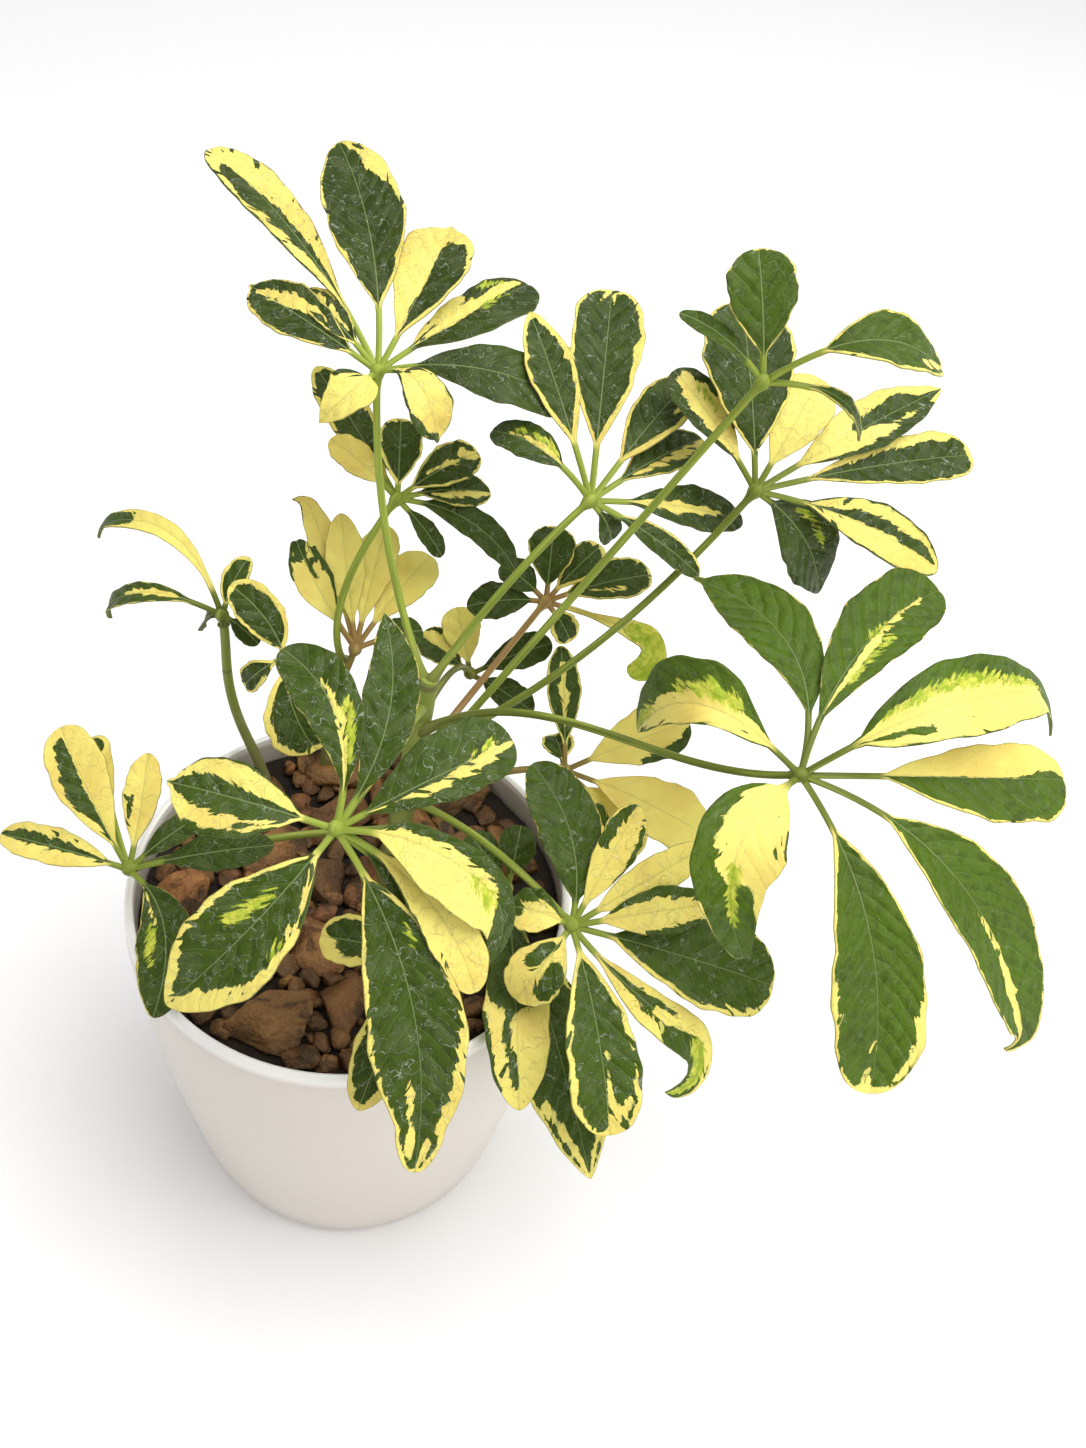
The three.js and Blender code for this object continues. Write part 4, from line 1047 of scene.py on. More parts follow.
def stone_material(sizes, groups):
    """Rough brown and russet stone with pale and dark patches, and painted shade low down between the stones.
    """
    made, tree, shader = new_material("brown_stone")
    place, mottle = mottled(tree, groups, 85.0, 520.0)
    tone = measure(tree, "tone", "Fac")
    colour = blend_colour(tree, tone, sizes.brown, sizes.russet)
    pale = tuple(min(1, c * 1.5) for c in sizes.brown)
    dark = tuple(c * 0.13 for c in sizes.brown)
    light = ramp_between(tree, mottle["Broad"], 0.52, 0.75)
    colour = tint(tree, colour, light, 0.6, pale)
    colour = blend_colour(tree, ramp_between(tree, mottle["Broad"], 0.5, 0.36), colour, dark)
    colour = tint(tree, colour, mottle["Small"], 0.35, dark)
    shade = calc(tree, "FRACT", times(tree, tone, 7.3))
    colour = tint(tree, colour, shade, 0.75, dark)
    # Painted shade: the stones turn darker towards the bed, low down where they meet.
    low = ramp_between(tree, split(tree, place)["Z"], 0.175, 0.166)
    colour = tint(tree, colour, low, 0.85, dark)
    surface(tree, shader, colour, mottle["Height"], 1.0, 0.0035)
    tree.links.new(scaled_sum(tree, mottle["Small"], 0.3, 0.42), shader.inputs["Roughness"])
    return made


def soil_material(sizes, groups):
    """Dark crumbly soil."""
    made, tree, shader = new_material("dark_soil")
    _, mottle = mottled(tree, groups, 150.0, 800.0)
    light = tuple(c * 2.6 for c in sizes.soil)
    colour = blend_colour(tree, ramp_between(tree, mottle["Broad"], 0.45, 0.75), sizes.soil, light)
    surface(tree, shader, colour, mottle["Height"], 1.0, 0.002)
    shader.inputs["Roughness"].default_value = 0.95
    return made


def bark_material(groups):
    """Olive green bark that turns brown lower down, with pale scars."""
    made, tree, shader = new_material("green_bark")
    place, mottle = mottled(tree, groups, 120.0, 700.0)
    low = ramp_between(tree, split(tree, place)["Z"], 0.235, 0.165)
    colour = blend_colour(tree, low, (0.26, 0.33, 0.05), (0.17, 0.165, 0.045))
    colour = tint(tree, colour, ramp_between(tree, mottle["Broad"], 0.5, 0.7), 0.5, (0.33, 0.31, 0.14))
    ring = ramp_between(tree, grain(tree, stretched(tree, place, (8, 8, 130)), 1, 2), 0.58, 0.66)
    colour = tint(tree, colour, ring, 0.55, (0.1, 0.075, 0.035))
    surface(tree, shader, colour, mottle["Height"], 0.6, 0.0008)
    shader.inputs["Roughness"].default_value = 0.62
    return made


def shared_groups():
    """The node groups, built once."""
    if "mottle" not in bpy.data.node_groups:
        vein_group()
        marks_group()
        water_group()
        mottle_group()
    names = {"veins": "leaf_veins", "marks": "leaf_marks", "water": "dried_water", "mottle": "mottle"}
    return {key: bpy.data.node_groups[name] for key, name in names.items()}


# Mesh helpers.
def clear_selection():
    """Leaves nothing selected, so that operators act on the new piece alone."""
    bpy.ops.object.select_all(action="DESELECT")


def select_only(piece):
    """Leaves one piece selected and active."""
    clear_selection()
    piece.select_set(True)
    bpy.context.view_layer.objects.active = piece


def new_object(name, data):
    """An object in the scene from its mesh, curve, light or camera."""
    made = bpy.data.objects.new(name, data)
    bpy.context.scene.collection.objects.link(made)
    return made


def finished(piece, node, material):
    """Gives a piece its material, lets it ride on the body and stand for its CAD node."""
    piece.name = "fine_" + node
    piece.data.name = piece.name
    piece.data.materials.clear()
    piece.data.materials.append(material)
    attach(piece, BODY)
    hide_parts(node)


def mesh_piece(name, points, faces, edges=()):
    """An object at the origin from points in millimetres and faces or edges."""
    mesh = bpy.data.meshes.new(name)
    mesh.from_pydata((np.asarray(points, float) * MM).tolist(), edges, faces)
    mesh.validate()
    return new_object(name, mesh)


def shade_smooth(piece):
    """Smooth shading over the whole piece."""
    piece.data.polygons.foreach_set("use_smooth", [True] * len(piece.data.polygons))
    piece.data.update()


def blade_width(shape, u):
    """The blade's half width along its length, as a share of its largest."""
    widest, base, blunt, sharp, nib, nib_width = SHAPES[shape]
    body = np.clip(u / (1 - nib), 0, 1)
    near = np.sin(math.pi / 2 * np.clip(body / widest, 0, 1) ** base)
    beyond = np.clip((body - widest) / (1 - widest), 0, 1)
    share = near * (1 - beyond**blunt) ** sharp
    if nib:
        into = np.clip((u - 1 + 2 * nib) / (2 * nib), 0, 1)
        share = np.where(u > 1 - 2 * nib, np.maximum(share, nib_width * np.sqrt(1 - into**2)), share)
    return share


def unit(v):
    """A vector of length 1."""
    return v / np.linalg.norm(v)


def turned(v, axis, degrees):
    """A vector turned about an axis."""
    a = math.radians(degrees)
    return v * math.cos(a) + np.cross(axis, v) * math.sin(a) + axis * (axis @ v) * (1 - math.cos(a))


def smoothstep(low, high, value):
    """0 below low, 1 above high, smooth between."""
    share = np.clip((value - low) / (high - low), 0, 1)
    return share * share * (3 - 2 * share)


# Leaf meshes: rings along a stalk and a blade, points across, how the rings crowd at the tip, and the
# first leaf's number for its random draws.
STALK_RINGS = 6
BLADE_RINGS = 46
ACROSS = 19
CROWDING = 1.8
FIRST_SEED = 3

# Blades: how far the veins of one half lie beyond the other's, how far they slant, the least half
# width, how far the midrib stands out underneath, and a depth that counts as well inside a mark.
VEIN_STAGGER = 3.4
VEIN_SLOPE = 0.62
LEAST_HALF_WIDTH = 0.25
MIDRIB_DEPTH = 0.6
WELL_INSIDE = 30.0

# Stalks of leaflets: how far they rise above their axis and sink below it.
STALK_RISE = 0.85
STALK_SINK = 0.95

# Petioles: rings and sides, the knob's profile as distance beyond the hub and radius, and how far
# before the hub the plain tube stops.
PETIOLE_RINGS = 36
PETIOLE_SIDES = 14
KNOB = [(-3.4, 1.9), (-2.2, 2.5), (-1, 2.9), (0.4, 2.8), (1.5, 2.2), (2.2, 1.3), (2.5, 0.3)]
KNOB_START = 4


class BladeLine:
    """The middle line of a leaflet and the blade's directions along it."""

    def __init__(self, hub, face, row):
        reach = np.array(row["tip"], float)
        self.hub, self.reach, self.row = hub, reach, row
        self.length = np.linalg.norm(reach)
        self.left = unit(np.cross(face, reach))
        self.up = unit(np.cross(reach, self.left))
        self.end = self.place(1)
        self.outward = unit(self.end - self.place(0.98))
        above = unit(np.cross(self.outward, self.left))
        self.tip_up = turned(above, self.outward, row["roll"] - row["aside"])
        self.hook_axis = np.cross(self.tip_up, self.outward)
        self.blade = self.length - row["stalk"] + row["hook"]
        self.hook_radius = max(row["hook"], 0.1) / math.radians(row["curl"])
        self.start = -row["stalk"] / self.blade

    def place(self, t):
        """A point of the line before the hook."""
        rise = 4 * t * (1 - t)
        return self.hub + self.reach * t + (self.up * self.row["arch"] + self.left * self.row["bow"]) * rise

    def at(self, u):
        """A point at a share of the blade's length, the hooked tip included."""
        run = u * self.blade + self.row["stalk"]
        if run <= self.length:
            return self.place(run / self.length)
        turn = (run - self.length) / self.hook_radius
        down = self.tip_up * self.hook_radius * (1 - math.cos(turn))
        return self.end + self.outward * self.hook_radius * math.sin(turn) - down

    def directions(self, u):
        """The blade's side and upward directions, which the hook carries round with it."""
        run = u * self.blade + self.row["stalk"]
        share = min(run / self.length, 1)
        along = unit(self.place(share + 0.01) - self.place(share - 0.01))
        flat = unit(self.left - along * (self.left @ along))
        high = np.cross(along, flat)
        tilt = math.radians(self.row["roll"]) * min(max(u * 1.6, 0), 1)
        side = flat * math.cos(tilt) + high * math.sin(tilt)
        turn = math.degrees(max(run - self.length, 0) / self.hook_radius)
        return turned(side, self.hook_axis, turn), turned(np.cross(along, side), self.hook_axis, turn)


def stroke_distance(stroke, x, y, half, length):
    """How far points lie inside a tapered stroke, in millimetres."""
    _, s0, t0, s1, t1, r0, r1 = stroke
    a = np.array([s0 * half, t0 * length])
    b = np.array([s1 * half, t1 * length])
    line = b - a
    share = np.clip(((x - a[0]) * line[0] + (y - a[1]) * line[1]) / max(line @ line, 1e-9), 0, 1)
    distance = np.hypot(x - a[0] - share * line[0], y - a[1] - share * line[1])
    return (r0 + (r1 - r0) * share) * half - distance


def marks_at(marks, s, u, side_gap, tip_gap, half, length):
    """Distances inside the green and the lime parts, in millimetres."""
    ground, (left, right, tip), strokes = marks
    border = np.where(s < 0, left, right)
    inside = np.minimum(side_gap - border, tip_gap - tip)
    bare = (left, right, tip) == (0, 0, 0)
    green = np.full_like(side_gap, WELL_INSIDE) if bare else inside
    if ground == "c":
        green = -green
    lime = np.full_like(side_gap, -WELL_INSIDE)
    x, y = s * half, u * length
    for stroke in strokes:
        depth = stroke_distance(stroke, x, y, half, length)
        if stroke[0] == "g":
            green = np.maximum(green, depth)
        elif stroke[0] == "c":
            green = np.minimum(green, -depth)
        else:
            lime = np.maximum(lime, depth)
    return green, lime


def top_and_under(values):
    """The same values for the top side's points and, in reverse, the underside's."""
    return np.concatenate([values, values[:, ::-1, :]], axis=1)


def leaflet_grid(row, line, stalk_half):
    """Each point's share across and along the leaflet, and the half width there."""
    steps = 1 - (1 - np.linspace(0, 1, BLADE_RINGS)) ** CROWDING
    u = np.concatenate([np.linspace(line.start, 0, STALK_RINGS, endpoint=False), steps])
    least = np.where(u < 0.5, stalk_half, LEAST_HALF_WIDTH)
    wide = np.maximum(blade_width(row["shape"], u) * row["width"] / 2, least)
    k = np.linspace(1, -1, ACROSS)
    s_grid, u_grid = np.meshgrid(0.55 * k + 0.45 * np.sin(k * math.pi / 2), u)
    return s_grid, u_grid, np.repeat(wide[:, None], ACROSS, 1)


def blade_aside(row, s, u, wide, phase):
    """How far aside the blade's points lie, with rippled edges and one half wider."""
    ripple = 0.03 * np.sin(u * 19 + phase[0] + s) + 0.02 * np.sin(u * 41 + phase[1])
    x = s * wide * (1 + ripple * smoothstep(0.1, 0.4, u) * s**2)
    return x * (1 + row["lean"] * np.sign(s) * smoothstep(0.05, 0.3, u))


def blade_height(x, s, u, wide, length, sizes, phase, draw):
    """How high the blade's top lies: fold, waves, quilting, cup and the midrib's groove."""
    over = np.sqrt(x**2 + 1.4**2) - 1.4
    wave_size = draw.uniform(0.02, 0.05) * wide * s**2 * smoothstep(0.15, 0.5, u)
    waves = wave_size * np.sin(u * draw.uniform(9, 14) + phase[2] + 1.3 * s)
    slant = u * length - VEIN_SLOPE * np.abs(x) + np.where(s < 0, VEIN_STAGGER, 0)
    quilt = 0.1 * np.cos(slant * 2 * math.pi / (sizes.vein_gap / MM)) * smoothstep(0, 3, np.abs(x))
    cup = draw.uniform(-0.05, 0.03) * wide * s**4
    groove = -0.25 * np.exp(-((x / 0.9) ** 2))
    return sizes.fold * over + waves + quilt + cup + groove


def blade_depth(x, s, u, thick):
    """How thick the blade is: thinner at its edges, thicker along its midrib."""
    rib = MIDRIB_DEPTH * np.exp(-(x**2)) * (1 - 0.8 * np.clip(u, 0, 1))
    return thick * (1 - 0.3 * s**2) + rib


def leaflet_measures(row, s, u, wide, length, seed):
    """The blade, marks and kind measures of a leaflet's points, top side and underside."""
    side_gap = (1 - np.abs(s)) * wide
    tip_gap = (1 - u) * length
    along = np.clip(u, 0, 1)
    green, lime = marks_at(row["marks"], -s, along, side_gap, tip_gap, row["width"] / 2, length)
    blade = np.stack([-s * wide, u * length, np.minimum(side_gap, tip_gap)], axis=2)
    marks = np.stack([green, lime, np.full_like(green, seed % 97 / 97)], axis=2)
    on_stalk = 1 - smoothstep(-0.01, 0.05, u)
    none, full = np.zeros_like(green), np.ones_like(green)
    upper = np.stack([on_stalk, none, none], axis=2)
    lower = np.stack([on_stalk, full, none], axis=2)
    kind = np.concatenate([upper, lower[:, ::-1, :]], axis=1)
    return top_and_under(blade), top_and_under(marks), kind


def leaflet_rings(hub, face, row, sizes, seed):
    """Rings of points and their measures for one leaflet with its stalk."""
    draw = random.Random(seed)
    line = BladeLine(hub, face, row)
    length = line.blade
    stalk_half = sizes.stalk / MM
    s, u, wide = leaflet_grid(row, line, stalk_half)
    phase = [draw.uniform(0, 6.28) for _ in range(4)]
    x_blade = blade_aside(row, s, u, wide, phase)
    z_blade = blade_height(x_blade, s, u, wide, length, sizes, phase, draw)
    under = z_blade - blade_depth(x_blade, s, u, sizes.blade / MM)
    bulge = np.sqrt(np.clip(1 - s**2, 0, 1))
    swell = 1 + 0.25 * np.exp(-((u - line.start) * length / 2.0) ** 2)
    into = smoothstep(-0.01, 0.1, u)
    x = (1 - into) * stalk_half * swell * s + into * x_blade
    top = (1 - into) * (STALK_RISE * bulge * swell - STALK_RISE) + into * z_blade
    low = (1 - into) * (-STALK_SINK * bulge * swell - STALK_RISE) + into * under
    middle = np.array([line.at(t) for t in u[:, 0]])
    frames = np.array([line.directions(t) for t in u[:, 0]])
    side, normal = frames[:, 0, None, :], frames[:, 1, None, :]
    base = middle[:, None, :] + side * x[:, :, None]
    upper = base + normal * top[:, :, None]
    lower = (base + normal * low[:, :, None])[:, ::-1, :]
    points = np.concatenate([upper, lower], axis=1)
    return points, *leaflet_measures(row, s, u, wide, length, seed)


def tube_rings(points, radii, sides):
    """Rings of points round a line, and their measures: round it and along it."""
    aside = np.array([1.0, 0, 0])
    rings = []
    angles = np.linspace(0, 2 * math.pi, sides, endpoint=False)
    for i, p in enumerate(points):
        along = unit(points[min(i + 1, len(points) - 1)] - points[max(i - 1, 0)])
        aside = unit(aside - along * (aside @ along))
        other = np.cross(along, aside)
        rings.append([p + radii[i] * (aside * math.cos(a) + other * math.sin(a)) for a in angles])
    made = np.array(rings)
    run = np.concatenate([[0], np.cumsum(np.linalg.norm(np.diff(points, axis=0), axis=1))])
    blade = np.empty(made.shape)
    blade[:, :, 0] = np.cos(angles) * 1.5
    blade[:, :, 1] = run[:, None]
    blade[:, :, 2] = np.sin(angles) * 1.5
    kind = np.zeros(made.shape)
    kind[:, :, 0] = 1
    kind[:, :, 2] = np.exp(-((np.arange(len(points)) / 4) ** 2))[:, None]
    return made, blade, np.zeros(made.shape), kind


def on_stem(name, height):
    """A point on a stem's axis at a height."""
    axis = STEMS[name]
    for low, high in zip(axis, axis[1:]):
        if height <= high[2]:
            share = (height - low[2]) / (high[2] - low[2])
            return np.array(low[:3], float) * (1 - share) + np.array(high[:3], float) * share
    return np.array(axis[-1][:3], float)


def petiole_rings(leaf, sizes):
    """The petiole, swollen where it leaves the stem, and the knob that carries the leaflets."""
    hub = np.array(leaf["hub"], float)
    base = on_stem(*leaf["from"])
    lower = base + (hub - base) / 3 + np.array(leaf["bend"][0], float)
    upper = base + (hub - base) * 2 / 3 + np.array(leaf["bend"][1], float)
    t = np.linspace(0, 1, PETIOLE_RINGS)[:, None]
    points = (1 - t) ** 3 * base + 3 * (1 - t) ** 2 * t * lower + 3 * (1 - t) * t**2 * upper + t**3 * hub
    size = sizes.petiole / MM
    radii = size * (1 + 0.7 * np.exp(-((t[:, 0] / 0.06) ** 2)) - 0.12 * t[:, 0])
    direction = unit(points[-1] - points[-2])
    keep = np.linalg.norm(points - hub, axis=1) > KNOB_START
    points = np.concatenate([points[keep], [hub + direction * d for d, _ in KNOB]])
    radii = np.concatenate([radii[keep], [r for _, r in KNOB]])
    return tube_rings(points, radii, PETIOLE_SIDES)


def ring_faces(rows, columns, start):
    """Faces between rings, and a face that closes each end."""
    faces = []
    for i in range(rows - 1):
        for j in range(columns):
            a = start + i * columns + j
            b = start + i * columns + (j + 1) % columns
            faces.append((a, a + columns, b + columns, b))
    faces.append(tuple(start + j for j in range(columns)))
    faces.append(tuple(start + (rows - 1) * columns + j for j in reversed(range(columns))))
    return faces


def leaf_piece(name, leaf, sizes, seed):
    """One whole leaf as one mesh with its measures as attributes."""
    hub = np.array(leaf["hub"], float)
    face = unit(np.array(leaf["face"], float))
    bodies = [petiole_rings(leaf, sizes)]
    for k, row in enumerate(leaf["leaflets"]):
        bodies.append(leaflet_rings(hub, face, row, sizes, seed * 17 + k))
    points, faces, measures = [], [], {"blade": [], "marks": [], "kind": []}
    for body in bodies:
        rows, columns = body[0].shape[:2]
        faces += ring_faces(rows, columns, sum(len(p) for p in points))
        points.append(body[0].reshape(-1, 3))
        for key, values in zip(measures, body[1:]):
            measures[key].append(values.reshape(-1, 3))
    piece = mesh_piece("fine_" + name, np.concatenate(points), faces)
    for key, values in measures.items():
        attribute = piece.data.attributes.new(key, "FLOAT_VECTOR", "POINT")
        attribute.data.foreach_set("vector", np.concatenate(values).astype(np.float32).ravel())
    look = piece.data.attributes.new("look", "FLOAT_VECTOR", "POINT")
    look.data.foreach_set("vector", np.tile(np.float32(leaf["look"]), len(piece.data.vertices)))
    face_outward(piece)
    shade_smooth(piece)
    return piece


def face_outward(piece):
    """Turns all faces of a closed piece outwards."""
    select_only(piece)
    bpy.ops.object.mode_set(mode="EDIT")
    bpy.ops.mesh.select_all(action="SELECT")
    bpy.ops.mesh.normals_make_consistent(inside=False)
    bpy.ops.object.mode_set(mode="OBJECT")


class PLANT_OT_leaves(bpy.types.Operator):
    """Builds every leaf with its petiole, leaflets and markings"""
    bl_idname = "umbrella_plant.leaves"
    bl_label = "Leaves"

    def execute(self, context):
        sizes = context.scene.umbrella_leaf
        material = leaf_material(sizes, shared_groups())
        for seed, (name, leaf) in enumerate(LEAVES.items(), FIRST_SEED):
            finished(leaf_piece(name, leaf, sizes, seed), name, material)
        return {"FINISHED"}


class PLANT_OT_stems(bpy.types.Operator):
    """Builds the stems as tapering tubes"""
    bl_idname = "umbrella_plant.stems"
    bl_label = "Stems"

    def execute(self, context):
        material = bark_material(shared_groups())
        for name, axis in STEMS.items():
            finished(stem_piece(name, axis), name, material)
        return {"FINISHED"}


def stem_piece(name, axis):
    """A tube along a smooth line through a stem's axis points, with a rounded top."""
    curve = bpy.data.curves.new("fine_" + name, "CURVE")
    curve.dimensions = "3D"
    curve.bevel_depth = MM
    curve.bevel_resolution = 6
    curve.resolution_u = 14
    curve.use_fill_caps = True
    spline = curve.splines.new("BEZIER")
    spline.bezier_points.add(len(axis) - 1)
    for point, (x, y, z, radius) in zip(spline.bezier_points, axis):
        point.co = Vector((x, y, z)) * MM
        point.handle_left_type = point.handle_right_type = "AUTO"
        point.radius = radius
    select_only(new_object("fine_" + name, curve))
    bpy.ops.object.convert(target="MESH")
    made = bpy.context.view_layer.objects.active
    shade_smooth(made)
    return made


class PLANT_OT_pot(bpy.types.Operator):
    """Spins the pot's profile and finishes it with glaze"""
    bl_idname = "umbrella_plant.pot"
    bl_label = "Pot"

    def execute(self, context):
        sizes = context.scene.umbrella_pot
        floor = [(POT_FLOOR_RADIUS, POT_FLOOR), (0, POT_FLOOR)]
        piece = spun_piece("fine_pot", [(0, 0), *POT_OUTER, *POT_INNER, *floor], sizes.steps)
        bpy.ops.object.shade_smooth_by_angle(angle=math.radians(40))
        finished(piece, "pot", glaze_material(sizes, shared_groups()))
        return {"FINISHED"}


def spun_piece(name, profile, steps):
    """A round piece spun from a profile of radius and height."""
    edges = [(i, i + 1) for i in range(len(profile) - 1)]
    made = mesh_piece(name, [(r, 0, z) for r, z in profile], [], edges)
    select_only(made)
    bpy.ops.object.mode_set(mode="EDIT")
    bpy.ops.mesh.select_all(action="SELECT")
    bpy.ops.mesh.spin(steps=steps, angle=2 * math.pi, center=(0, 0, 0), axis=(0, 0, 1))
    bpy.ops.mesh.select_all(action="SELECT")
    bpy.ops.mesh.remove_doubles(threshold=1e-5)
    bpy.ops.mesh.normals_make_consistent(inside=False)
    bpy.ops.object.mode_set(mode="OBJECT")
    return made


def plain_draws():
    """Numbers from 0 to 1, the same ones each time."""
    state = DRAW_SEED
    while True:
        state = (state * DRAW_FACTOR + DRAW_STEP) % DRAW_RANGE
        yield state / DRAW_RANGE


def stone_rows():
    """Every large stone of the mulch: the front ones, and rings of stones further in."""
    draw = plain_draws()
    rows = list(FRONT_STONES)
    for radius, count, start in STONE_RINGS:
        for k in range(count):
            turn = start + 2 * math.pi * (k + 0.3 * next(draw)) / count
            x, y = radius * math.cos(turn), radius * math.sin(turn)
            if any(math.hypot(s[0] - x, s[1] - y) < STONE_ROOM for s in FRONT_STONES):
                continue
            a = STONE_LENGTH[0] + STONE_LENGTH[1] * next(draw)
            b = STONE_WIDTH[0] + STONE_WIDTH[1] * next(draw)
            rows.append((x, y, BED_TOP + 1, a, b, STONE_HEIGHT, 2 * math.pi * next(draw)))
    return rows


def gap_stones(rows):
    """Smaller stones that fill the gaps between the large ones."""
    draw = random.Random(GAP_SEED)
    made = []
    for _ in range(GAP_STONES * 12):
        reach = GAP_REACH * math.sqrt(draw.random())
        turn = draw.uniform(0, 2 * math.pi)
        x, y = reach * math.cos(turn), reach * math.sin(turn)
        size = draw.uniform(*GAP_SIZES)
        clear = all(math.hypot(s[0] - x, s[1] - y) > 0.54 * (s[3] + size) for s in rows + made)
        if clear and len(made) < GAP_STONES:
            halves = [size * share for share in FLATTER]
            made.append((x, y, BED_TOP + 0.5, *halves, draw.uniform(0, math.pi)))
    return made


def cut_stone(vertices, draw, cuts, roughness):
    """Turns a round lump into an angular stone with worn edges."""
    planes = []
    for _ in range(cuts):
        direction = Vector([draw.gauss(0, 1) for _ in range(3)]).normalized()
        planes.append((direction, draw.uniform(*CUT_DEPTHS)))
    shift = Vector([draw.uniform(-50, 50) for _ in range(3)])
    made = []
    for vertex in vertices:
        point = Vector(vertex).normalized()
        for direction, limit in planes:
            beyond = point.dot(direction) - limit
            if beyond > 0:
                point = point - direction * beyond * CUT_SHARE
        rough = noise.fractal(point * 3.4 + shift, 0.9, 2.1, 4)
        made.append(point * (1 + roughness * rough))
    return made


def lump(subdivisions):
    """Points and faces of a round lump of radius 1, from a primitive."""
    bpy.ops.mesh.primitive_ico_sphere_add(subdivisions=subdivisions, radius=1)
    made = bpy.context.view_layer.objects.active
    points = [tuple(v.co) for v in made.data.vertices]
    faces = [tuple(p.vertices) for p in made.data.polygons]
    mesh = made.data
    bpy.data.objects.remove(made)
    bpy.data.meshes.remove(mesh)
    return points, faces


class PLANT_OT_mulch(bpy.types.Operator):
    """Lays the stones and chips on the soil bed"""
    bl_idname = "umbrella_plant.mulch"
    bl_label = "Mulch"

    def execute(self, context):
        sizes = context.scene.umbrella_mulch
        groups = shared_groups()
        clear_selection()
        piece = mulch_piece(sizes)
        finished(piece, "mulch", stone_material(sizes, groups))
        piece.data.materials.append(soil_material(sizes, groups))
        tones = np.zeros(len(piece.data.vertices), np.float32)
        piece.data.attributes["tone"].data.foreach_get("value", tones)
        for polygon in piece.data.polygons:
            polygon.material_index = 1 if tones[polygon.vertices[0]] < 0 else 0
        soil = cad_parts["soil"]
        soil.data.materials.clear()
        soil.data.materials.append(bpy.data.materials["dark_soil"])
        return {"FINISHED"}


def mulch_piece(sizes):
    """Bed, stones and chips as one piece, with the tone of each as an attribute."""
    draw = random.Random(MULCH_SEED)
    points, faces = bed_mesh()
    tones = [BED_TONE] * len(points)
    shapes = {level: lump(level) for level in (2, 3, 4, 5)}

    def add_stone(level, matrix, cuts, roughness, darker):
        base, base_faces = shapes[level]
        stone = [keep_in_pot(matrix @ p) for p in cut_stone(base, draw, cuts, roughness)]
        faces.extend([tuple(len(points) + i for i in face) for face in base_faces])
        points.extend(stone)
        tones.extend([draw.random() ** darker] * len(stone))

    rows = stone_rows()
    for index, (x, y, z, a, b, c, turn) in enumerate(rows + gap_stones(rows)):
        level = 4 if a > LARGE_STONE else 3
        if index < len(FRONT_STONES):
            level = 5
        matrix = Matrix.Translation((x, y, z)) @ Matrix.Rotation(turn, 4, "Z")
        add_stone(level, matrix @ Matrix.Diagonal((a, b, c, 1)), STONE_CUTS, STONE_ROUGHNESS, 1.5)
    for _ in range(sizes.chips):
        reach = BED_RADIUS * 0.96 * math.sqrt(draw.random())
        turn = draw.uniform(0, 2 * math.pi)
        size = sizes.chip_size / MM * draw.uniform(*CHIP_SIZES)
        place = (reach * math.cos(turn), reach * math.sin(turn), BED_TOP + 0.4 * size)
        angle = draw.uniform(0, 6.28)
        axis = Vector([draw.gauss(0, 1) for _ in range(3)]).normalized()
        halves = [size * share for share in FLATTER]
        matrix = Matrix.Translation(place) @ Matrix.Rotation(angle, 4, axis)
        add_stone(2, matrix @ Matrix.Diagonal((*halves, 1)), CHIP_CUTS, CHIP_ROUGHNESS, 1)
    piece = mesh_piece("fine_mulch", [tuple(p) for p in points], faces)
    tone = piece.data.attributes.new("tone", "FLOAT", "POINT")
    tone.data.foreach_set("value", np.array(tones, np.float32))
    face_outward(piece)
    shade_smooth(piece)
    return piece


def keep_in_pot(point):
    """Keeps a point clear of the pot's inner wall."""
    reach = math.hypot(point[0], point[1])
    if reach <= BED_RADIUS:
        return point
    scale = BED_RADIUS / reach
    return Vector((point[0] * scale, point[1] * scale, point[2]))


def circle(radius, height):
    """Points round the pot's axis."""
    turns = [2 * math.pi * j / BED_STEPS for j in range(BED_STEPS)]
    return [Vector((radius * math.cos(turn), radius * math.sin(turn), height)) for turn in turns]


def bed_mesh():
    """The uneven top of the soil, as a closed disc."""
    points = []
    rise, spread = BED_BUMPS
    for i in range(BED_RINGS + 1):
        radius = BED_RADIUS * (i + BED_MIDDLE) / (BED_RINGS + BED_MIDDLE)
        for place in circle(radius, 0):
            height = BED_TOP - 1.2 + rise * noise.fractal(place * spread, 1, 2, 4)
            points.append(Vector((place.x, place.y, height)))
    points += circle(BED_RADIUS, BED_BOTTOM)
    return points, ring_faces(BED_RINGS + 2, BED_STEPS, 0)


class PLANT_OT_stage(bpy.types.Operator):
    """Adds the floor, the lights and the camera"""
    bl_idname = "umbrella_plant.stage"
    bl_label = "Stage"

    def execute(self, context):
        sizes = context.scene.umbrella_stage
        add_floor(sizes)
        add_lights(context.scene, sizes)
        add_camera(context.scene)
        return {"FINISHED"}


def add_floor(sizes):
    """A wide pale floor under the pot."""
    clear_selection()
    bpy.ops.mesh.primitive_plane_add(size=2 * sizes.floor, location=(0, 0, 0))
    floor = bpy.context.view_layer.objects.active
    floor.name = "floor"
    made, _, shader = new_material("pale_floor")
    shader.inputs["Base Color"].default_value = (0.95, 0.95, 0.95, 1)
    shader.inputs["Roughness"].default_value = 0.9
    shader.inputs["Emission Color"].default_value = (1, 1, 1, 1)
    shader.inputs["Emission Strength"].default_value = 0.05
    floor.data.materials.append(made)


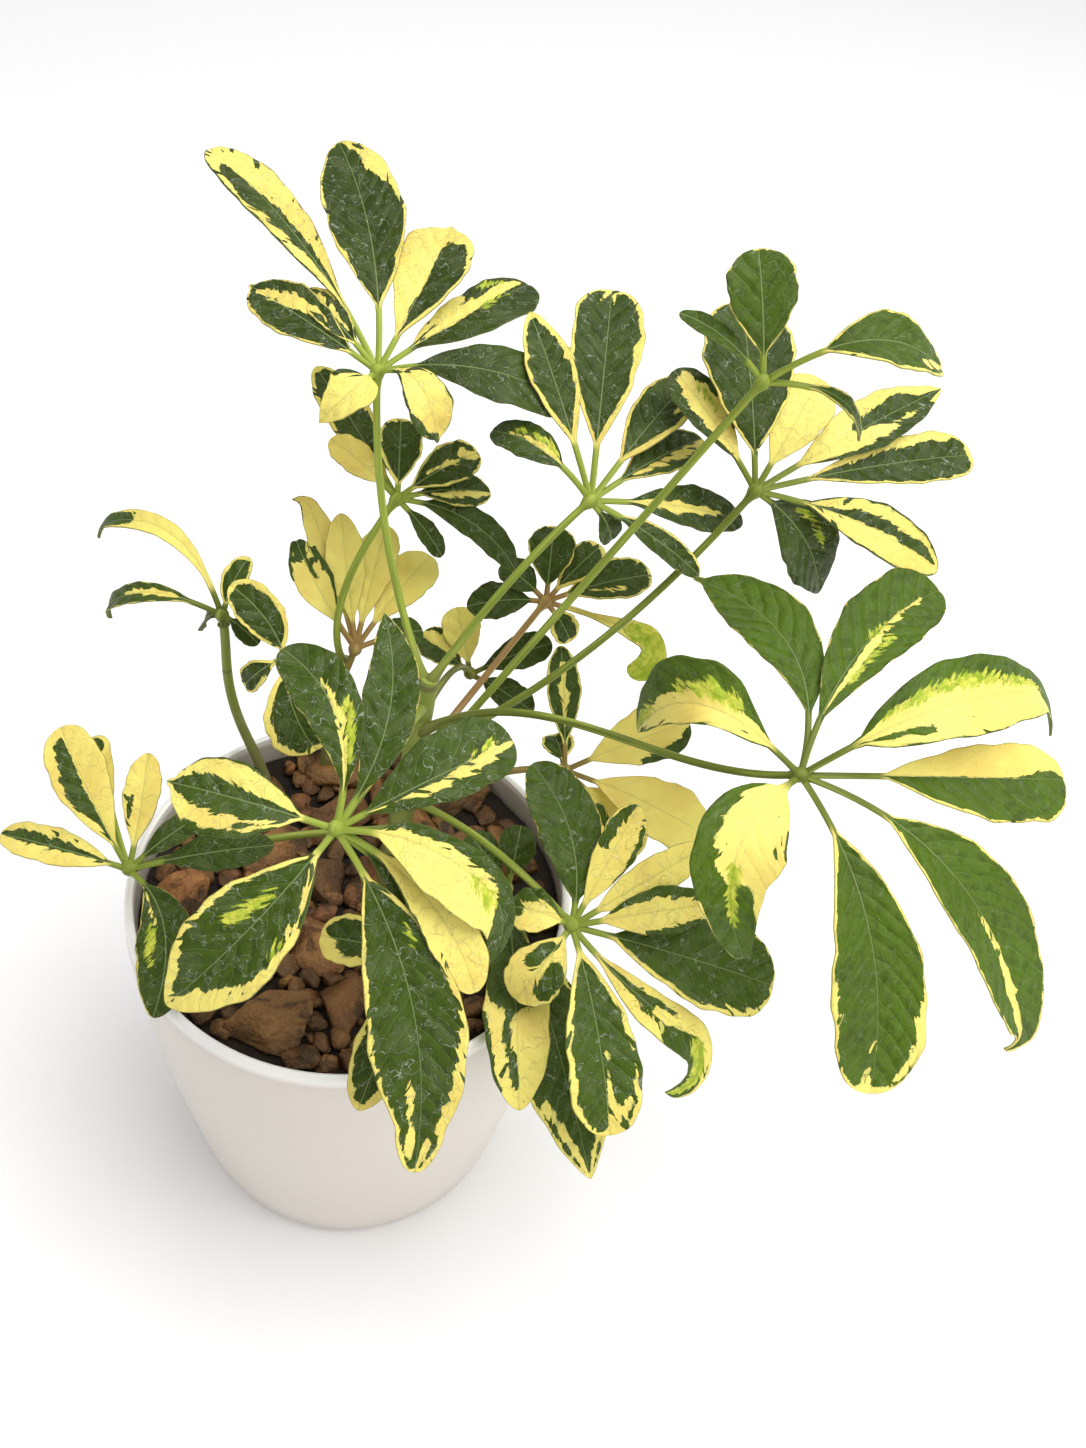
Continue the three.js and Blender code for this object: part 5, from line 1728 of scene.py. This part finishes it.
def add_lights(scene, sizes):
    """Even light from all round and two soft panels."""
    world = bpy.data.worlds.new("studio")
    world.use_nodes = True
    world.node_tree.nodes["Background"].inputs["Color"].default_value = (1, 1, 1, 1)
    world.node_tree.nodes["Background"].inputs["Strength"].default_value = sizes.sky
    scene.world = world
    for name, place, size, power in LIGHT_PANELS:
        light = bpy.data.lights.new(name, "AREA")
        light.size = size
        light.energy = power
        made = new_object(name, light)
        made.location = place
        made.rotation_euler = (Vector(LIGHT_AIM) - Vector(place)).to_track_quat("-Z", "Y").to_euler()


def add_camera(scene):
    """The camera at the photograph's angle."""
    pitch, roll = math.radians(CAMERA_PITCH), math.radians(CAMERA_ROLL)
    forward = Vector((0, math.cos(pitch), -math.sin(pitch)))
    level = Vector((1, 0, 0))
    above = level.cross(forward)
    right = level * math.cos(roll) + above * math.sin(roll)
    up = above * math.cos(roll) - level * math.sin(roll)
    data = bpy.data.cameras.new("camera")
    data.lens = CAMERA_LENS
    data.sensor_width = CAMERA_SENSOR
    data.clip_start = 0.01
    turn = Matrix((right, up, -forward)).transposed().to_4x4()
    camera = new_object("camera", data)
    camera.matrix_world = Matrix.Translation(CAMERA_PLACE) @ turn
    scene.camera = camera
    scene.view_settings.view_transform = "Standard"


class PLANT_PT_pieces(bpy.types.Panel):
    """Lists the pieces and their sizes"""
    bl_label = "Umbrella plant"
    bl_idname = "PLANT_PT_pieces"
    bl_space_type = "VIEW_3D"
    bl_region_type = "UI"
    bl_category = "Umbrella plant"

    def draw(self, context):
        for name, _, operator in GROUPS:
            box = self.layout.box()
            sizes = getattr(context.scene, name)
            for key in sizes.__annotations__:
                box.prop(sizes, key)
            box.operator(operator)
        self.layout.operator("umbrella_plant.stems")


GROUPS = [
    ("umbrella_pot", PotSizes, "umbrella_plant.pot"),
    ("umbrella_mulch", MulchSizes, "umbrella_plant.mulch"),
    ("umbrella_leaf", LeafSizes, "umbrella_plant.leaves"),
    ("umbrella_stage", StageSizes, "umbrella_plant.stage"),
]
OPERATORS = [PLANT_OT_pot, PLANT_OT_mulch, PLANT_OT_stems, PLANT_OT_leaves, PLANT_OT_stage]


def register():
    """Registers the classes and puts the sizes on the scene."""
    for name, group, _ in GROUPS:
        bpy.utils.register_class(group)
        setattr(bpy.types.Scene, name, bpy.props.PointerProperty(type=group))
    for operator in OPERATORS:
        bpy.utils.register_class(operator)
    bpy.utils.register_class(PLANT_PT_pieces)


def unregister():
    """Takes the classes and the sizes away again."""
    bpy.utils.unregister_class(PLANT_PT_pieces)
    for operator in reversed(OPERATORS):
        bpy.utils.unregister_class(operator)
    for name, group, _ in reversed(GROUPS):
        delattr(bpy.types.Scene, name)
        bpy.utils.unregister_class(group)


def main():
    """Builds every piece."""
    register()
    bpy.ops.umbrella_plant.pot()
    bpy.ops.umbrella_plant.mulch()
    bpy.ops.umbrella_plant.stems()
    bpy.ops.umbrella_plant.leaves()
    bpy.ops.umbrella_plant.stage()


if __name__ == "__main__":
    main()
